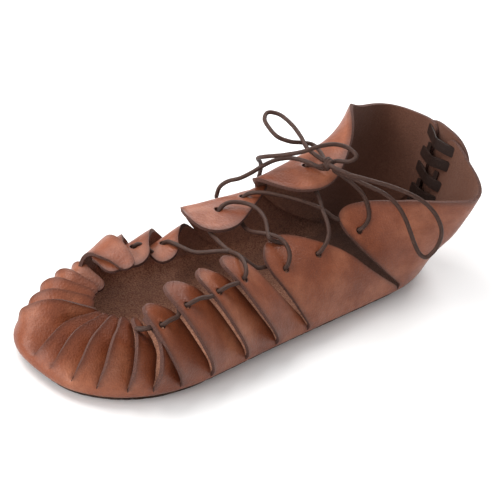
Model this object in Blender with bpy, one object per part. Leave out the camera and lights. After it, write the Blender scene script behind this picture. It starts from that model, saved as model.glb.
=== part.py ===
"""A left medieval lace-up shoe: one piece of leather, slit round its edge and gathered by a cord.

The leather lies flat under the foot and turns up all round. Above the turn it is slit into flaps: a
heel tab, two quarters, two middle flaps, four petals a side and a fan of toe tabs, where each flap laps
over the next one round the toe. A suede sole lies under it. A round cord gathers the petals, crosses
the throat and ends in a bow, and a flat thong laces the heel.

Toe towards -X, heel towards +X, outer side of the foot towards -Y, +Z up. Metres.
"""

import math
from typing import NamedTuple

import bmesh
import bpy
from mathutils import Vector

# Driving sizes
LENGTH = 0.270
BALL_WIDTH = 0.098
LEATHER = 0.0021
SOLE_THICKNESS = 0.0026
TURN_RADIUS = 0.008
TOE_SPRING = 0.0015
QUARTER_REACH = 0.086
MIDDLE_REACH = 0.070
PETAL_REACH = 0.070
HEEL_TAB_REACH = 0.085
RIM_RADIUS = 0.019
INSTEP_HEIGHT = 0.070
HOLE_RADIUS = 0.0019
CORD_RADIUS = 0.0012
THONG_THICKNESS = 0.0010
THONG_WIDTH = 0.0036
THONG_STEP = 0.0105
THONG_SIDE = 0.012
KNOT_RADIUS = 2.1 * CORD_RADIUS
KNOT_PITCH = 2.4 * CORD_RADIUS

# Clearances and places that follow the sizes above
GAP = 0.0003
SLIT = 0.0008
SLIT_ROOT = TURN_RADIUS * math.radians(68)
FLOOR = SOLE_THICKNESS + GAP
SOLE_INSET = 0.75 * TURN_RADIUS
SOLE_EDGE = 0.2 * SOLE_THICKNESS
SPRING_START = 0.17 * LENGTH
THONG_ROWS = 5
THONG_BEHIND = 3.0
THONG_START = 0.28
FAN_CENTRE = Vector((-0.267 * LENGTH, 0.03 * BALL_WIDTH))

# Fineness of the meshes
OUTLINE_STEPS = 12
TURN_ROWS = 2
SOLE_POINTS = 60
THONG_COLUMNS = 6
CORD_STEPS = 2
CORD_SIDES = 6
KNOT_STEPS = 9

# Climbs above the slits' roots where flaps part, tilt and slip under each other
OFF_OVER = 0.008
TILT_OVER = 0.013
TUCK_START = 0.009
TUCK_OVER = 0.030
LEAN_DELAY = 0.06


class OutlineRow(NamedTuple):
    """A station of the widest outline: place as a share of LENGTH, sides as shares of BALL_WIDTH."""

    along: float
    outer: float
    inner: float


OUTLINE = (
    OutlineRow(0.000, 0.085, 0.085),
    OutlineRow(0.009, -0.105, 0.190),
    OutlineRow(0.026, -0.228, 0.262),
    OutlineRow(0.058, -0.330, 0.335),
    OutlineRow(0.110, -0.425, 0.400),
    OutlineRow(0.180, -0.492, 0.450),
    OutlineRow(0.260, -0.512, 0.472),
    OutlineRow(0.350, -0.490, 0.460),
    OutlineRow(0.480, -0.448, 0.420),
    OutlineRow(0.630, -0.408, 0.386),
    OutlineRow(0.760, -0.374, 0.364),
    OutlineRow(0.860, -0.342, 0.332),
    OutlineRow(0.935, -0.256, 0.246),
    OutlineRow(0.983, -0.128, 0.122),
    OutlineRow(1.000, 0.000, 0.000),
)


class WallRow(NamedTuple):
    """The wall at a share of the way round the outline: its angle in degrees and its turn's radius.

    The radius is a share of TURN_RADIUS.
    """

    around: float
    angle: float
    turn: float


WALL = (
    WallRow(0.000, 90.0, 1.0),
    WallRow(0.030, 80.0, 1.0),
    WallRow(0.055, 67.0, 1.0),
    WallRow(0.080, 80.0, 1.0),
    WallRow(0.105, 96.0, 1.0),
    WallRow(0.240, 104.0, 1.0),
    WallRow(0.340, 104.0, 1.0),
    WallRow(0.390, 106.0, 0.9),
    WallRow(0.430, 116.0, 0.75),
    WallRow(0.480, 130.0, 0.6),
    WallRow(0.520, 136.0, 0.6),
    WallRow(0.560, 130.0, 0.6),
    WallRow(0.600, 110.0, 0.8),
    WallRow(0.660, 96.0, 1.0),
    WallRow(0.760, 91.0, 1.0),
    WallRow(0.885, 90.0, 1.0),
    WallRow(0.920, 80.0, 1.0),
    WallRow(0.950, 72.0, 1.0),
    WallRow(0.975, 81.0, 1.0),
    WallRow(1.000, 90.0, 1.0),
)


class Section(NamedTuple):
    """A flap's shape at a place across it, from its first edge at 0 to its last at 1.

    reach is a share of the flap's named reach. The leather bends inwards by bend degrees, from
    bend_from over bend_over, shares of the reach. off is how far it stands off the plain wall near
    the top, as a multiple of the leather's thickness.
    """

    across: float
    reach: float
    bend_from: float
    bend_over: float
    bend: float
    off: float


class Flap(NamedTuple):
    """A flap of the slit edge, from start to end, shares of the way round the outline.

    lean_start and lean_end are how far its two edges shift round the outline on the way up, and
    round_start and round_end are the radii of its corners, all as shares of its reach. A flap with no
    reach of its own runs to the rim of the fan. tilt turns it about its own length so that its last
    edge lifts, in degrees. hold is 1 where it stays straight instead of following the outline.
    tucked names the edge that slips under the heel tab. holes are the column and row of each hole.
    """

    name: str
    start: float
    end: float
    columns: int
    rows: int
    reach: float
    lean_start: float
    lean_end: float
    round_start: float
    round_end: float
    tilt: float
    hold: float
    tucked: str
    holes: tuple
    sections: tuple


OUTER_QUARTER = (
    Section(0.00, 0.96, 0.50, 0.40, 0.0, -1.3),
    Section(0.20, 0.90, 0.50, 0.40, 8.0, -1.3),
    Section(0.40, 0.82, 0.45, 0.40, 14.0, -0.2),
    Section(0.65, 0.77, 0.25, 0.60, 16.0, 0.0),
    Section(0.85, 0.80, 0.16, 0.60, 46.0, 0.0),
    Section(1.00, 0.80, 0.16, 0.60, 54.0, 0.0),
)
INNER_QUARTER = (
    Section(0.00, 1.08, 0.60, 0.28, 88.0, 0.0),
    Section(0.16, 1.14, 0.63, 0.28, 84.0, 0.0),
    Section(0.32, 1.12, 0.66, 0.28, 58.0, 0.0),
    Section(0.46, 1.02, 0.62, 0.30, 12.0, 0.0),
    Section(0.60, 0.98, 0.50, 0.40, 12.0, -0.2),
    Section(0.80, 0.97, 0.50, 0.40, 6.0, -1.3),
    Section(1.00, 0.97, 0.50, 0.40, 0.0, -1.3),
)
OUTER_MIDDLE = (
    Section(0.00, 0.80, 0.20, 0.66, 50.0, -0.4),
    Section(0.45, 0.97, 0.20, 0.66, 58.0, 0.0),
    Section(1.00, 0.90, 0.20, 0.66, 54.0, 0.6),
)
INNER_MIDDLE = (
    Section(0.00, 1.08, 0.59, 0.26, 94.0, 0.0),
    Section(0.50, 1.12, 0.59, 0.26, 92.0, 0.0),
    Section(1.00, 0.92, 0.59, 0.26, 86.0, 0.6),
)
OUTER_PETAL = (
    Section(0.00, 0.94, 0.18, 0.64, 56.0, -0.3),
    Section(1.00, 0.94, 0.18, 0.64, 56.0, 0.5),
)
INNER_PETAL = (
    Section(0.00, 1.04, 0.44, 0.44, 94.0, -0.3),
    Section(1.00, 1.04, 0.44, 0.44, 94.0, 0.5),
)
HEEL_TAB_SECTIONS = (
    Section(0.00, 0.97, 0.55, 0.40, 0.0, 0.1),
    Section(0.50, 1.00, 0.55, 0.40, 0.0, 0.1),
    Section(1.00, 0.97, 0.55, 0.40, 0.0, 0.1),
)

OUTER_SLITS = (0.030, 0.1005, 0.2165, 0.255, 0.292, 0.333, 0.3655)
INNER_SLITS = (0.635, 0.667, 0.708, 0.7455, 0.784, 0.900, 0.970)
FAN_SLITS = (0.3655, 0.391, 0.413, 0.4385, 0.460, 0.482, 0.5015, 0.550, 0.572, 0.594, 0.615, 0.635)
FAN_BEND = 0.46
FAN_BEND_OVER = 0.22
FAN_END_ANGLE = 190.0
FAN_TIP_WIDTH = 0.0092
FAN_TILT = 37.0
FAN_ROUND = 0.08
FAN_WIDE = 0.04
FAN_WIDE_HOLD = 0.4


class PetalRow(NamedTuple):
    """A petal's reach as a share of PETAL_REACH, and the lean of its rear and front edges."""

    reach: float
    trailing: float
    leading: float


OUTER_PETALS = (
    PetalRow(1.00, 0.60, 0.40),
    PetalRow(1.00, 0.48, 0.30),
    PetalRow(1.00, 0.40, 0.26),
    PetalRow(0.88, 0.38, 0.25),
)
INNER_PETALS = (
    PetalRow(1.00, 0.68, 0.54),
    PetalRow(1.00, 0.58, 0.46),
    PetalRow(1.00, 0.48, 0.32),
    PetalRow(1.00, 0.14, 0.00),
)
PETAL_TILT = 14.0
PETAL_ROUND = 0.12


class CordRow(NamedTuple):
    """A point on a cord: shares of LENGTH from the toe, BALL_WIDTH to the inner side, INSTEP_HEIGHT up."""

    along: float
    side: float
    height: float


GATHER_1 = (
    CordRow(0.154, -0.273, 0.5186),
    CordRow(0.160, -0.307, 0.5371),
    CordRow(0.167, -0.336, 0.5486),
)
GATHER_2 = (
    CordRow(0.200, -0.352, 0.5929),
    CordRow(0.215, -0.351, 0.6143),
    CordRow(0.230, -0.356, 0.6229),
)
GATHER_3 = (
    CordRow(0.266, -0.317, 0.6657),
    CordRow(0.289, -0.322, 0.6857),
    CordRow(0.313, -0.332, 0.6757),
)
GATHER_4 = (
    CordRow(0.343, -0.296, 0.6743),
    CordRow(0.363, -0.306, 0.6971),
    CordRow(0.383, -0.310, 0.6929),
)
GATHER_5 = (
    CordRow(0.303, 0.286, 0.5829),
    CordRow(0.290, 0.286, 0.6057),
    CordRow(0.278, 0.288, 0.6071),
)
NEAR_TO_FAR_1 = (
    CordRow(0.409, -0.287, 0.713),
    CordRow(0.418, -0.224, 0.749),
    CordRow(0.424, -0.153, 0.746),
    CordRow(0.428, -0.071, 0.697),
    CordRow(0.435, 0.031, 0.664),
    CordRow(0.443, 0.112, 0.640),
    CordRow(0.448, 0.173, 0.631),
)
FAR_TO_NEAR_1 = (
    CordRow(0.387, 0.077, 0.593),
    CordRow(0.404, 0.010, 0.643),
    CordRow(0.428, -0.071, 0.697),
    CordRow(0.448, -0.138, 0.664),
    CordRow(0.467, -0.184, 0.607),
)
NEAR_TO_FAR_2 = (
    CordRow(0.536, -0.267, 0.599),
    CordRow(0.542, -0.209, 0.677),
    CordRow(0.541, -0.133, 0.737),
    CordRow(0.526, -0.056, 0.734),
    CordRow(0.517, 0.031, 0.679),
    CordRow(0.522, 0.102, 0.637),
    CordRow(0.526, 0.143, 0.631),
)
FAR_TO_NEAR_2 = (
    CordRow(0.484, 0.259, 0.743),
    CordRow(0.511, 0.245, 0.766),
    CordRow(0.537, 0.184, 0.784),
    CordRow(0.546, 0.102, 0.786),
    CordRow(0.543, 0.031, 0.766),
    CordRow(0.526, -0.056, 0.734),
    CordRow(0.520, -0.088, 0.729),
)
NEAR_TO_FAR_3 = (
    CordRow(0.632, -0.216, 0.613),
    CordRow(0.647, -0.192, 0.680),
    CordRow(0.659, -0.139, 0.737),
    CordRow(0.670, -0.036, 0.790),
    CordRow(0.680, 0.046, 0.843),
    CordRow(0.683, 0.102, 0.869),
)
FAR_TO_NEAR_3 = (
    CordRow(0.553, 0.269, 0.757),
    CordRow(0.581, 0.224, 0.803),
    CordRow(0.609, 0.143, 0.820),
    CordRow(0.637, 0.056, 0.820),
    CordRow(0.670, -0.036, 0.790),
    CordRow(0.693, -0.092, 0.723),
    CordRow(0.706, -0.117, 0.669),
)
TO_KNOT = (
    CordRow(0.757, -0.178, 0.719),
    CordRow(0.758, -0.147, 0.814),
    CordRow(0.753, -0.096, 0.897),
    CordRow(0.737, -0.059, 0.960),
    CordRow(0.719, -0.022, 1.020),
    CordRow(0.704, 0.002, 1.057),
)
BOW_LOOP_UP = (
    CordRow(0.681, 0.099, 1.134),
    CordRow(0.673, 0.189, 1.154),
    CordRow(0.680, 0.273, 1.177),
    CordRow(0.683, 0.373, 1.203),
    CordRow(0.677, 0.474, 1.217),
    CordRow(0.659, 0.510, 1.217),
    CordRow(0.642, 0.476, 1.200),
    CordRow(0.637, 0.410, 1.179),
    CordRow(0.640, 0.341, 1.157),
    CordRow(0.661, 0.291, 1.136),
    CordRow(0.687, 0.269, 1.120),
    CordRow(0.706, 0.239, 1.109),
    CordRow(0.707, 0.179, 1.100),
    CordRow(0.697, 0.100, 1.094),
)
BOW_LOOP_NEAR = (
    CordRow(0.681, 0.002, 1.146),
    CordRow(0.699, -0.097, 1.140),
    CordRow(0.726, -0.176, 1.134),
    CordRow(0.759, -0.255, 1.114),
    CordRow(0.790, -0.331, 1.080),
    CordRow(0.815, -0.396, 1.029),
    CordRow(0.835, -0.449, 0.943),
    CordRow(0.850, -0.485, 0.821),
    CordRow(0.854, -0.490, 0.714),
    CordRow(0.846, -0.488, 0.614),
    CordRow(0.831, -0.480, 0.564),
    CordRow(0.817, -0.464, 0.593),
    CordRow(0.804, -0.437, 0.679),
    CordRow(0.793, -0.404, 0.786),
    CordRow(0.783, -0.367, 0.886),
    CordRow(0.772, -0.316, 0.971),
    CordRow(0.757, -0.245, 1.029),
    CordRow(0.736, -0.163, 1.054),
    CordRow(0.713, -0.082, 1.080),
    CordRow(0.693, 0.001, 1.103),
)
LACE_END_A = (
    CordRow(0.705, 0.039, 1.137),
    CordRow(0.721, -0.020, 1.169),
    CordRow(0.732, -0.031, 1.214),
    CordRow(0.728, 0.022, 1.243),
    CordRow(0.709, 0.077, 1.254),
    CordRow(0.676, 0.108, 1.243),
    CordRow(0.643, 0.137, 1.200),
    CordRow(0.620, 0.210, 1.126),
    CordRow(0.605, 0.311, 1.034),
    CordRow(0.612, 0.378, 0.951),
    CordRow(0.635, 0.413, 0.857),
    CordRow(0.650, 0.439, 0.757),
    CordRow(0.656, 0.454, 0.657),
    CordRow(0.656, 0.455, 0.557),
)
LACE_END_B = (
    CordRow(0.6707, 0.069, 1.094),
    CordRow(0.664, 0.143, 1.077),
    CordRow(0.651, 0.230, 1.046),
    CordRow(0.631, 0.286, 1.000),
    CordRow(0.611, 0.320, 0.937),
    CordRow(0.589, 0.337, 0.877),
    CordRow(0.569, 0.361, 0.823),
    CordRow(0.556, 0.414, 0.757),
    CordRow(0.552, 0.455, 0.666),
    CordRow(0.552, 0.465, 0.557),
)

KNOT_CENTRE = CordRow(0.689, 0.051, 1.114)


def clear_scene() -> None:
    for thing in list(bpy.data.objects):
        bpy.data.objects.remove(thing, do_unlink=True)


def smooth_step(share: float) -> float:
    share = min(1.0, max(0.0, share))
    return share * share * (3 - 2 * share)


def catmull(a, b, c, d, share: float):
    """A point between b and c on the smooth curve through four points."""
    return 0.5 * (
        2 * b
        + (c - a) * share
        + (2 * a - 5 * b + 4 * c - d) * share**2
        + (3 * b - a - 3 * c + d) * share**3
    )


def blend_rows(rows, key: float):
    """The values of a table at a key, on smooth curves through its rows that level out at its ends."""
    last = len(rows) - 1
    k = 0
    while k < last - 1 and key > rows[k + 1][0]:
        k += 1
    low, high = rows[k], rows[k + 1]
    span = high[0] - low[0]
    share = min(1.0, max(0.0, (key - low[0]) / span))

    def slope(row: int, column: int) -> float:
        if row in (0, last):
            return 0.0
        return (rows[row + 1][column] - rows[row - 1][column]) / (rows[row + 1][0] - rows[row - 1][0])

    values = [key]
    for column in range(1, len(low)):
        start, end = slope(k, column) * span, slope(k + 1, column) * span
        rise = high[column] - low[column]
        values.append(
            low[column]
            + start * share
            + (3 * rise - 2 * start - end) * share**2
            + (start + end - 2 * rise) * share**3
        )
    return tuple(values)


class Outline:
    """The closed outline, from the heel along the outer side, round the toe and back."""

    def __init__(self) -> None:
        outer = [Vector(((r.along - 0.5) * LENGTH, r.outer * BALL_WIDTH)) for r in OUTLINE]
        inner = [Vector(((r.along - 0.5) * LENGTH, r.inner * BALL_WIDTH)) for r in OUTLINE]
        corners = outer[::-1] + inner[1:-1]
        count = len(corners)
        self.points = []
        for i in range(count):
            around = [corners[(i + k) % count] for k in (-1, 0, 1, 2)]
            self.points += [catmull(*around, step / OUTLINE_STEPS) for step in range(OUTLINE_STEPS)]
        self.points.append(self.points[0])
        self.lengths = [0.0]
        for a, b in zip(self.points, self.points[1:]):
            self.lengths.append(self.lengths[-1] + (b - a).length)
        self.girth = self.lengths[-1]

    def at(self, share: float) -> Vector:
        distance = (share % 1.0) * self.girth
        low, high = 0, len(self.lengths) - 1
        while high - low > 1:
            middle = (low + high) // 2
            if self.lengths[middle] <= distance:
                low = middle
            else:
                high = middle
        step = self.lengths[high] - self.lengths[low]
        return self.points[low].lerp(self.points[high], (distance - self.lengths[low]) / step)

    def onward(self, share: float) -> Vector:
        """The unit direction of the outline, smoothed over a short stretch."""
        span = 0.006
        return (self.at(share + span) - self.at(share - span)).normalized()

    def outward(self, share: float) -> Vector:
        along = self.onward(share)
        return Vector((-along.y, along.x))


OUTLINE_CURVE = Outline()


def wall_at(around: float) -> tuple[float, float]:
    """The wall's angle and its turn's radius."""
    _, angle, turn = blend_rows(WALL, around % 1.0)
    return math.radians(angle), turn * TURN_RADIUS


def floor_lift(x: float) -> float:
    """How far the toe spring lifts the floor at a place along the shoe."""
    ahead = (SPRING_START - (x + LENGTH / 2)) / SPRING_START
    return TOE_SPRING * max(0.0, ahead) ** 2


def climb_path(around: float, bend_from: float, bend_over: float, bend: float, climb: float):
    """Outward travel, height and heading after climbing the leather from the floor edge."""
    wall, radius = wall_at(around)
    turn = radius * wall
    stretches = (
        (turn, wall),
        (max(0.0, bend_from - turn), 0.0),
        (bend_over, bend),
        (1.0, 0.0),
    )
    out = -radius
    height = 0.0
    heading = 0.0
    for length, sweep in stretches:
        part = min(climb, length)
        if part <= 0.0:
            continue
        swept = sweep * part / length
        if abs(swept) > 1e-6:
            radius = part / swept
            out += radius * (math.sin(heading + swept) - math.sin(heading))
            height += radius * (math.cos(heading) - math.cos(heading + swept))
        else:
            out += part * math.cos(heading)
            height += part * math.sin(heading)
        heading += swept
        climb -= part
    return out, height, heading


def place(origin: Vector, out_way: Vector, out: float, height: float, heading: float, off: float) -> Vector:
    """A point in space, out from a place in plan and up, moved off the surface along its normal."""
    out += off * math.sin(heading)
    height -= off * math.cos(heading)
    spot = origin + out_way * out
    return Vector((spot.x, spot.y, FLOOR + height + floor_lift(spot.x)))


class FlapShape:
    """Works out the outer skin of one flap."""

    def __init__(self, flap: Flap) -> None:
        self.flap = flap
        self.middle = (flap.start + flap.end) / 2
        self.origin = OUTLINE_CURVE.at(self.middle)
        self.width = (flap.end - flap.start) * OUTLINE_CURVE.girth
        self.fan = flap.hold > 0 and flap.reach == 0
        if self.fan:
            self.out_way = (self.origin - FAN_CENTRE).normalized()
            self.distance = (self.origin - FAN_CENTRE).length
            self.reach = self.fan_reach()
        else:
            self.out_way = OUTLINE_CURVE.outward(self.middle)
            self.reach = flap.reach
        self.onward = Vector((self.out_way.y, -self.out_way.x))

    def fan_reach(self) -> float:
        """The climb at which a toe tab reaches the rim of the opening."""
        wanted = RIM_RADIUS - self.distance
        low, high = 0.03, 0.12
        for _ in range(30):
            self.reach = (low + high) / 2
            if self.section_path(0.5, self.middle, self.reach)[0] > wanted:
                low = self.reach
            else:
                high = self.reach
        return self.reach

    def section(self, across: float):
        return blend_rows(self.flap.sections, across)

    def section_path(self, across: float, around: float, climb: float):
        _, _, bend_from, bend_over, bend, _ = self.section(across)
        around += (self.middle - around) * self.flap.hold
        return climb_path(
            around, bend_from * self.reach, bend_over * self.reach, math.radians(bend), climb
        )

    def edges(self, climb: float):
        """Where the two edges lie along the outline at a climb, measured from the flap's middle."""
        above = max(0.0, climb - SLIT_ROOT)
        full = self.reach - SLIT_ROOT
        rising = above / full
        slit = SLIT * min(1.0, above / (3 * SLIT))
        width = self.width
        if self.fan:
            out = self.section_path(0.5, self.middle, climb)[0]
            width *= (self.distance + out) / self.distance
            width = max(width, FAN_TIP_WIDTH)
        tucked = smooth_step((above - TUCK_START) / TUCK_OVER)
        lean_start = tucked if self.flap.tucked == "start" else self.shift(rising)
        lean_end = tucked if self.flap.tucked == "end" else self.shift(rising)
        first = -width / 2 + slit + self.flap.lean_start * self.reach * lean_start
        last = width / 2 - slit + self.flap.lean_end * self.reach * lean_end
        return first, last

    def shift(self, rising: float) -> float:
        """How much of the lean is reached: none at the slit's root, easing into a straight line."""
        rising = max(0.0, rising - LEAN_DELAY) / (1 - LEAN_DELAY)
        return rising * (1.6 - 0.6 * rising)

    def tilt(self, climb: float) -> float:
        above = max(0.0, climb - SLIT_ROOT)
        return math.radians(self.flap.tilt) * smooth_step(above / TILT_OVER)

    def top(self, across: float) -> float:
        """The climb at the flap's upper edge, with its corners rounded."""
        reach = self.section(across)[1] * self.reach
        first, last = self.edges(reach)
        from_first = across * (last - first)
        from_last = (1 - across) * (last - first)
        for distance, share in ((from_first, self.flap.round_start), (from_last, self.flap.round_end)):
            radius = min(share * self.reach, 0.5 * (last - first))
            if distance < radius:
                reach -= radius - math.sqrt(max(0.0, radius**2 - (radius - distance) ** 2))
        return reach

    def point(self, across: float, climb: float, raised: float = 0.0) -> Vector:
        """A point of the outer skin, or one raised off it along its normal."""
        above = max(0.0, climb - SLIT_ROOT)
        first, last = self.edges(climb)
        along = first + (last - first) * across
        off = self.section(across)[5] * LEATHER * smooth_step(above / OFF_OVER)
        tilt = self.tilt(climb)
        around = self.middle + along / OUTLINE_CURVE.girth
        out, height, heading = self.section_path(across, around, climb)
        lift = off + raised + along * math.sin(tilt)
        follow = place(
            OUTLINE_CURVE.at(around), OUTLINE_CURVE.outward(around), out, height, heading, lift
        )
        if self.flap.hold == 0:
            return follow
        origin = self.origin + self.onward * along * math.cos(tilt)
        straight = place(origin, self.out_way, out, height, heading, lift)
        return follow.lerp(straight, self.flap.hold * smooth_step(above / (0.25 * self.reach)))


def make_flaps() -> list[Flap]:
    """All flaps in order round the outline, starting with the heel tab."""
    outer, inner = OUTER_SLITS, INNER_SLITS
    flaps = [
        Flap("heel_tab", inner[6] - 1, outer[0], 8, 9, HEEL_TAB_REACH, 0.0, 0.0, 0.16, 0.16, 0.0, 0.0, "",
             (), HEEL_TAB_SECTIONS),
        Flap("quarter_outer", outer[0], outer[1], 14, 10, QUARTER_REACH, -0.17, 0.44, 0.03, 0.16, 0.0, 0.0,
             "start", ((12, 8),), OUTER_QUARTER),
        Flap("middle_outer", outer[1], outer[2], 10, 9, MIDDLE_REACH, 0.70, 0.33, 0.22, 0.20, 0.0, 0.0, "",
             ((7, 6), (3, 7)), OUTER_MIDDLE),
    ]
    for k, row in enumerate(OUTER_PETALS):
        flaps.append(
            Flap(f"petal_outer_{k}", outer[k + 2], outer[k + 3], 6, 8, row.reach * PETAL_REACH,
                 row.trailing, row.leading, PETAL_ROUND, PETAL_ROUND, PETAL_TILT, 1.0, "", ((3, 6),),
                 OUTER_PETAL)
        )
    for k, (start, end) in enumerate(zip(FAN_SLITS, FAN_SLITS[1:])):
        bend = FAN_END_ANGLE - math.degrees(wall_at((start + end) / 2)[0])
        sections = (
            Section(0.00, 1.0, FAN_BEND, FAN_BEND_OVER, bend, 0.0),
            Section(1.00, 1.0, FAN_BEND, FAN_BEND_OVER, bend, 0.0),
        )
        hold = FAN_WIDE_HOLD if end - start > FAN_WIDE else 1.0
        flaps.append(
            Flap(f"toe_tab_{k}", start, end, 4, 8, 0.0, 0.0, 0.0, FAN_ROUND, FAN_ROUND, FAN_TILT, hold,
                 "", ((2, 6),), sections)
        )
    for k, row in reversed(list(enumerate(INNER_PETALS))):
        flaps.append(
            Flap(f"petal_inner_{k}", inner[3 - k], inner[4 - k], 6, 9, row.reach * PETAL_REACH,
                 -row.leading, -row.trailing, PETAL_ROUND, PETAL_ROUND, PETAL_TILT, 1.0, "", ((3, 7),),
                 INNER_PETAL)
        )
    flaps += [
        Flap("middle_inner", inner[4], inner[5], 10, 9, MIDDLE_REACH, -0.64, -0.80, 0.20, 0.16, 0.0, 0.0, "",
             ((4, 7), (6, 7)), INNER_MIDDLE),
        Flap("quarter_inner", inner[5], inner[6], 14, 10, QUARTER_REACH, -0.66, 0.17, 0.16, 0.03, 0.0, 0.0,
             "end", ((3, 8),), INNER_QUARTER),
    ]
    return flaps


def column_places(columns: int) -> list[float]:
    """Places across a flap, closer together towards its edges, where its corners are rounded."""
    eased = min(1.0, 8 / columns) ** 2
    places = []
    for j in range(columns + 1):
        even = j / columns
        places.append(even + (0.5 - 0.5 * math.cos(math.pi * even) - even) * eased)
    return places


class SkinMesh:
    """The outer skin of the upper as vertices and faces, open at each slit, edge and hole."""

    def __init__(self) -> None:
        self.bm = bmesh.new()

    def add(self, spot: Vector):
        return self.bm.verts.new(spot)

    def quad(self, a, b, c, d) -> None:
        self.bm.faces.new((a, b, c, d))

    def zip_floor(self, ring: list, upward: bool = False) -> None:
        """Closes a floor with narrow triangles from side to side, from the heel to the toe."""
        toe = max(range(len(ring)), key=lambda k: -ring[k].co.x)
        outer = ring[: toe + 1]
        inner = [ring[0]] + ring[:toe - 1:-1]
        a, b = 0, 0
        while a < len(outer) - 1 or b < len(inner) - 1:
            step_outer = b == len(inner) - 1
            if not step_outer and a < len(outer) - 1:
                step_outer = outer[a + 1].co.x > inner[b + 1].co.x
            ahead = outer[a + 1] if step_outer else inner[b + 1]
            corners = (outer[a], ahead, inner[b])
            if len(set(corners)) == 3:
                self.bm.faces.new(corners[::-1] if upward else corners)
            if step_outer:
                a += 1
            else:
                b += 1

    def finish(self, name: str, thickness: float, material):
        """Makes the object, given a wall behind its skin where a thickness is asked for."""
        mesh = bpy.data.meshes.new(name)
        self.bm.to_mesh(mesh)
        self.bm.free()
        piece = bpy.data.objects.new(name, mesh)
        piece.data.materials.append(material)
        bpy.context.scene.collection.objects.link(piece)
        if thickness:
            wall = piece.modifiers.new("wall", "SOLIDIFY")
            wall.thickness = thickness
            wall.offset = -1
            wall.use_even_offset = True
        return piece


def make_material(name: str, colour: tuple, roughness: float):
    material = bpy.data.materials.new(name)
    material.use_nodes = True
    surface = material.node_tree.nodes["Principled BSDF"]
    surface.inputs["Base Color"].default_value = (*colour, 1.0)
    surface.inputs["Roughness"].default_value = roughness
    surface.inputs["Metallic"].default_value = 0.0
    return material


def add_upper(flaps: list[Flap]):
    skin = SkinMesh()
    shapes = [FlapShape(flap) for flap in flaps]
    shares = []
    for flap in flaps:
        shares += [flap.start + (flap.end - flap.start) * u for u in column_places(flap.columns)[:-1]]
    rings = []
    for row in range(TURN_ROWS + 1):
        climb = SLIT_ROOT * row / TURN_ROWS
        ring = []
        for share in shares:
            out, height, heading = climb_path(share, 1.0, 1.0, 0.0, climb)
            spot = place(OUTLINE_CURVE.at(share), OUTLINE_CURVE.outward(share), out, height, heading, 0.0)
            ring.append(skin.add(spot))
        rings.append(ring)
    count = len(shares)
    for low, high in zip(rings, rings[1:]):
        for j in range(count):
            skin.quad(low[j], high[j], high[(j + 1) % count], low[(j + 1) % count])
    start = next(k for k, share in enumerate(shares) if share >= 0)
    skin.zip_floor(rings[0][start:] + rings[0][:start])

    column = 0
    for shape in shapes:
        flap = shape.flap
        places = column_places(flap.columns)
        grid = [[rings[-1][(column + j) % count] for j in range(flap.columns + 1)]]
        for i in range(1, flap.rows + 1):
            row = []
            for across in places:
                climb = SLIT_ROOT + (shape.top(across) - SLIT_ROOT) * i / flap.rows
                row.append(skin.add(shape.point(across, climb)))
            grid.append(row)
        open_cells = set()
        for j, i in flap.holes:
            open_cells |= {(j - 1, i - 1), (j, i - 1), (j - 1, i), (j, i)}
            centre = grid[i][j]
            around = [grid[i + di][j + dj] for dj, di in
                      ((-1, -1), (-1, 0), (-1, 1), (0, 1), (1, 1), (1, 0), (1, -1), (0, -1))]
            rim = []
            for vert in around:
                rim.append(skin.add(centre.co + (vert.co - centre.co).normalized() * HOLE_RADIUS))
            for k in range(8):
                skin.quad(around[k], around[(k + 1) % 8], rim[(k + 1) % 8], rim[k])
            skin.bm.verts.remove(centre)
        for i in range(flap.rows):
            for j in range(flap.columns):
                if (j, i) not in open_cells:
                    skin.quad(grid[i][j], grid[i + 1][j], grid[i + 1][j + 1], grid[i][j + 1])
        column += flap.columns

    return skin.finish("upper", LEATHER, make_material("brown_leather", (0.150, 0.056, 0.026), 0.42))


def add_sole():
    """A flat suede layer under the foot, set in from the widest outline, its edges a little eased."""
    skin = SkinMesh()
    levels = (
        (SOLE_INSET + SOLE_EDGE, 0.0),
        (SOLE_INSET, SOLE_EDGE),
        (SOLE_INSET, SOLE_THICKNESS - SOLE_EDGE),
        (SOLE_INSET + SOLE_EDGE, SOLE_THICKNESS),
    )
    rings = []
    for inset, height in levels:
        ring = []
        for k in range(SOLE_POINTS):
            share = k / SOLE_POINTS
            spot = OUTLINE_CURVE.at(share) - OUTLINE_CURVE.outward(share) * inset
            ring.append(skin.add(Vector((spot.x, spot.y, height + floor_lift(spot.x)))))
        rings.append(ring)
    for low, high in zip(rings, rings[1:]):
        for j in range(SOLE_POINTS):
            skin.quad(low[j], high[j], high[(j + 1) % SOLE_POINTS], low[(j + 1) % SOLE_POINTS])
    skin.zip_floor(rings[0])
    skin.zip_floor(rings[-1], upward=True)
    return skin.finish("sole", 0.0, make_material("dark_suede", (0.050, 0.027, 0.018), 0.92))


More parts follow.
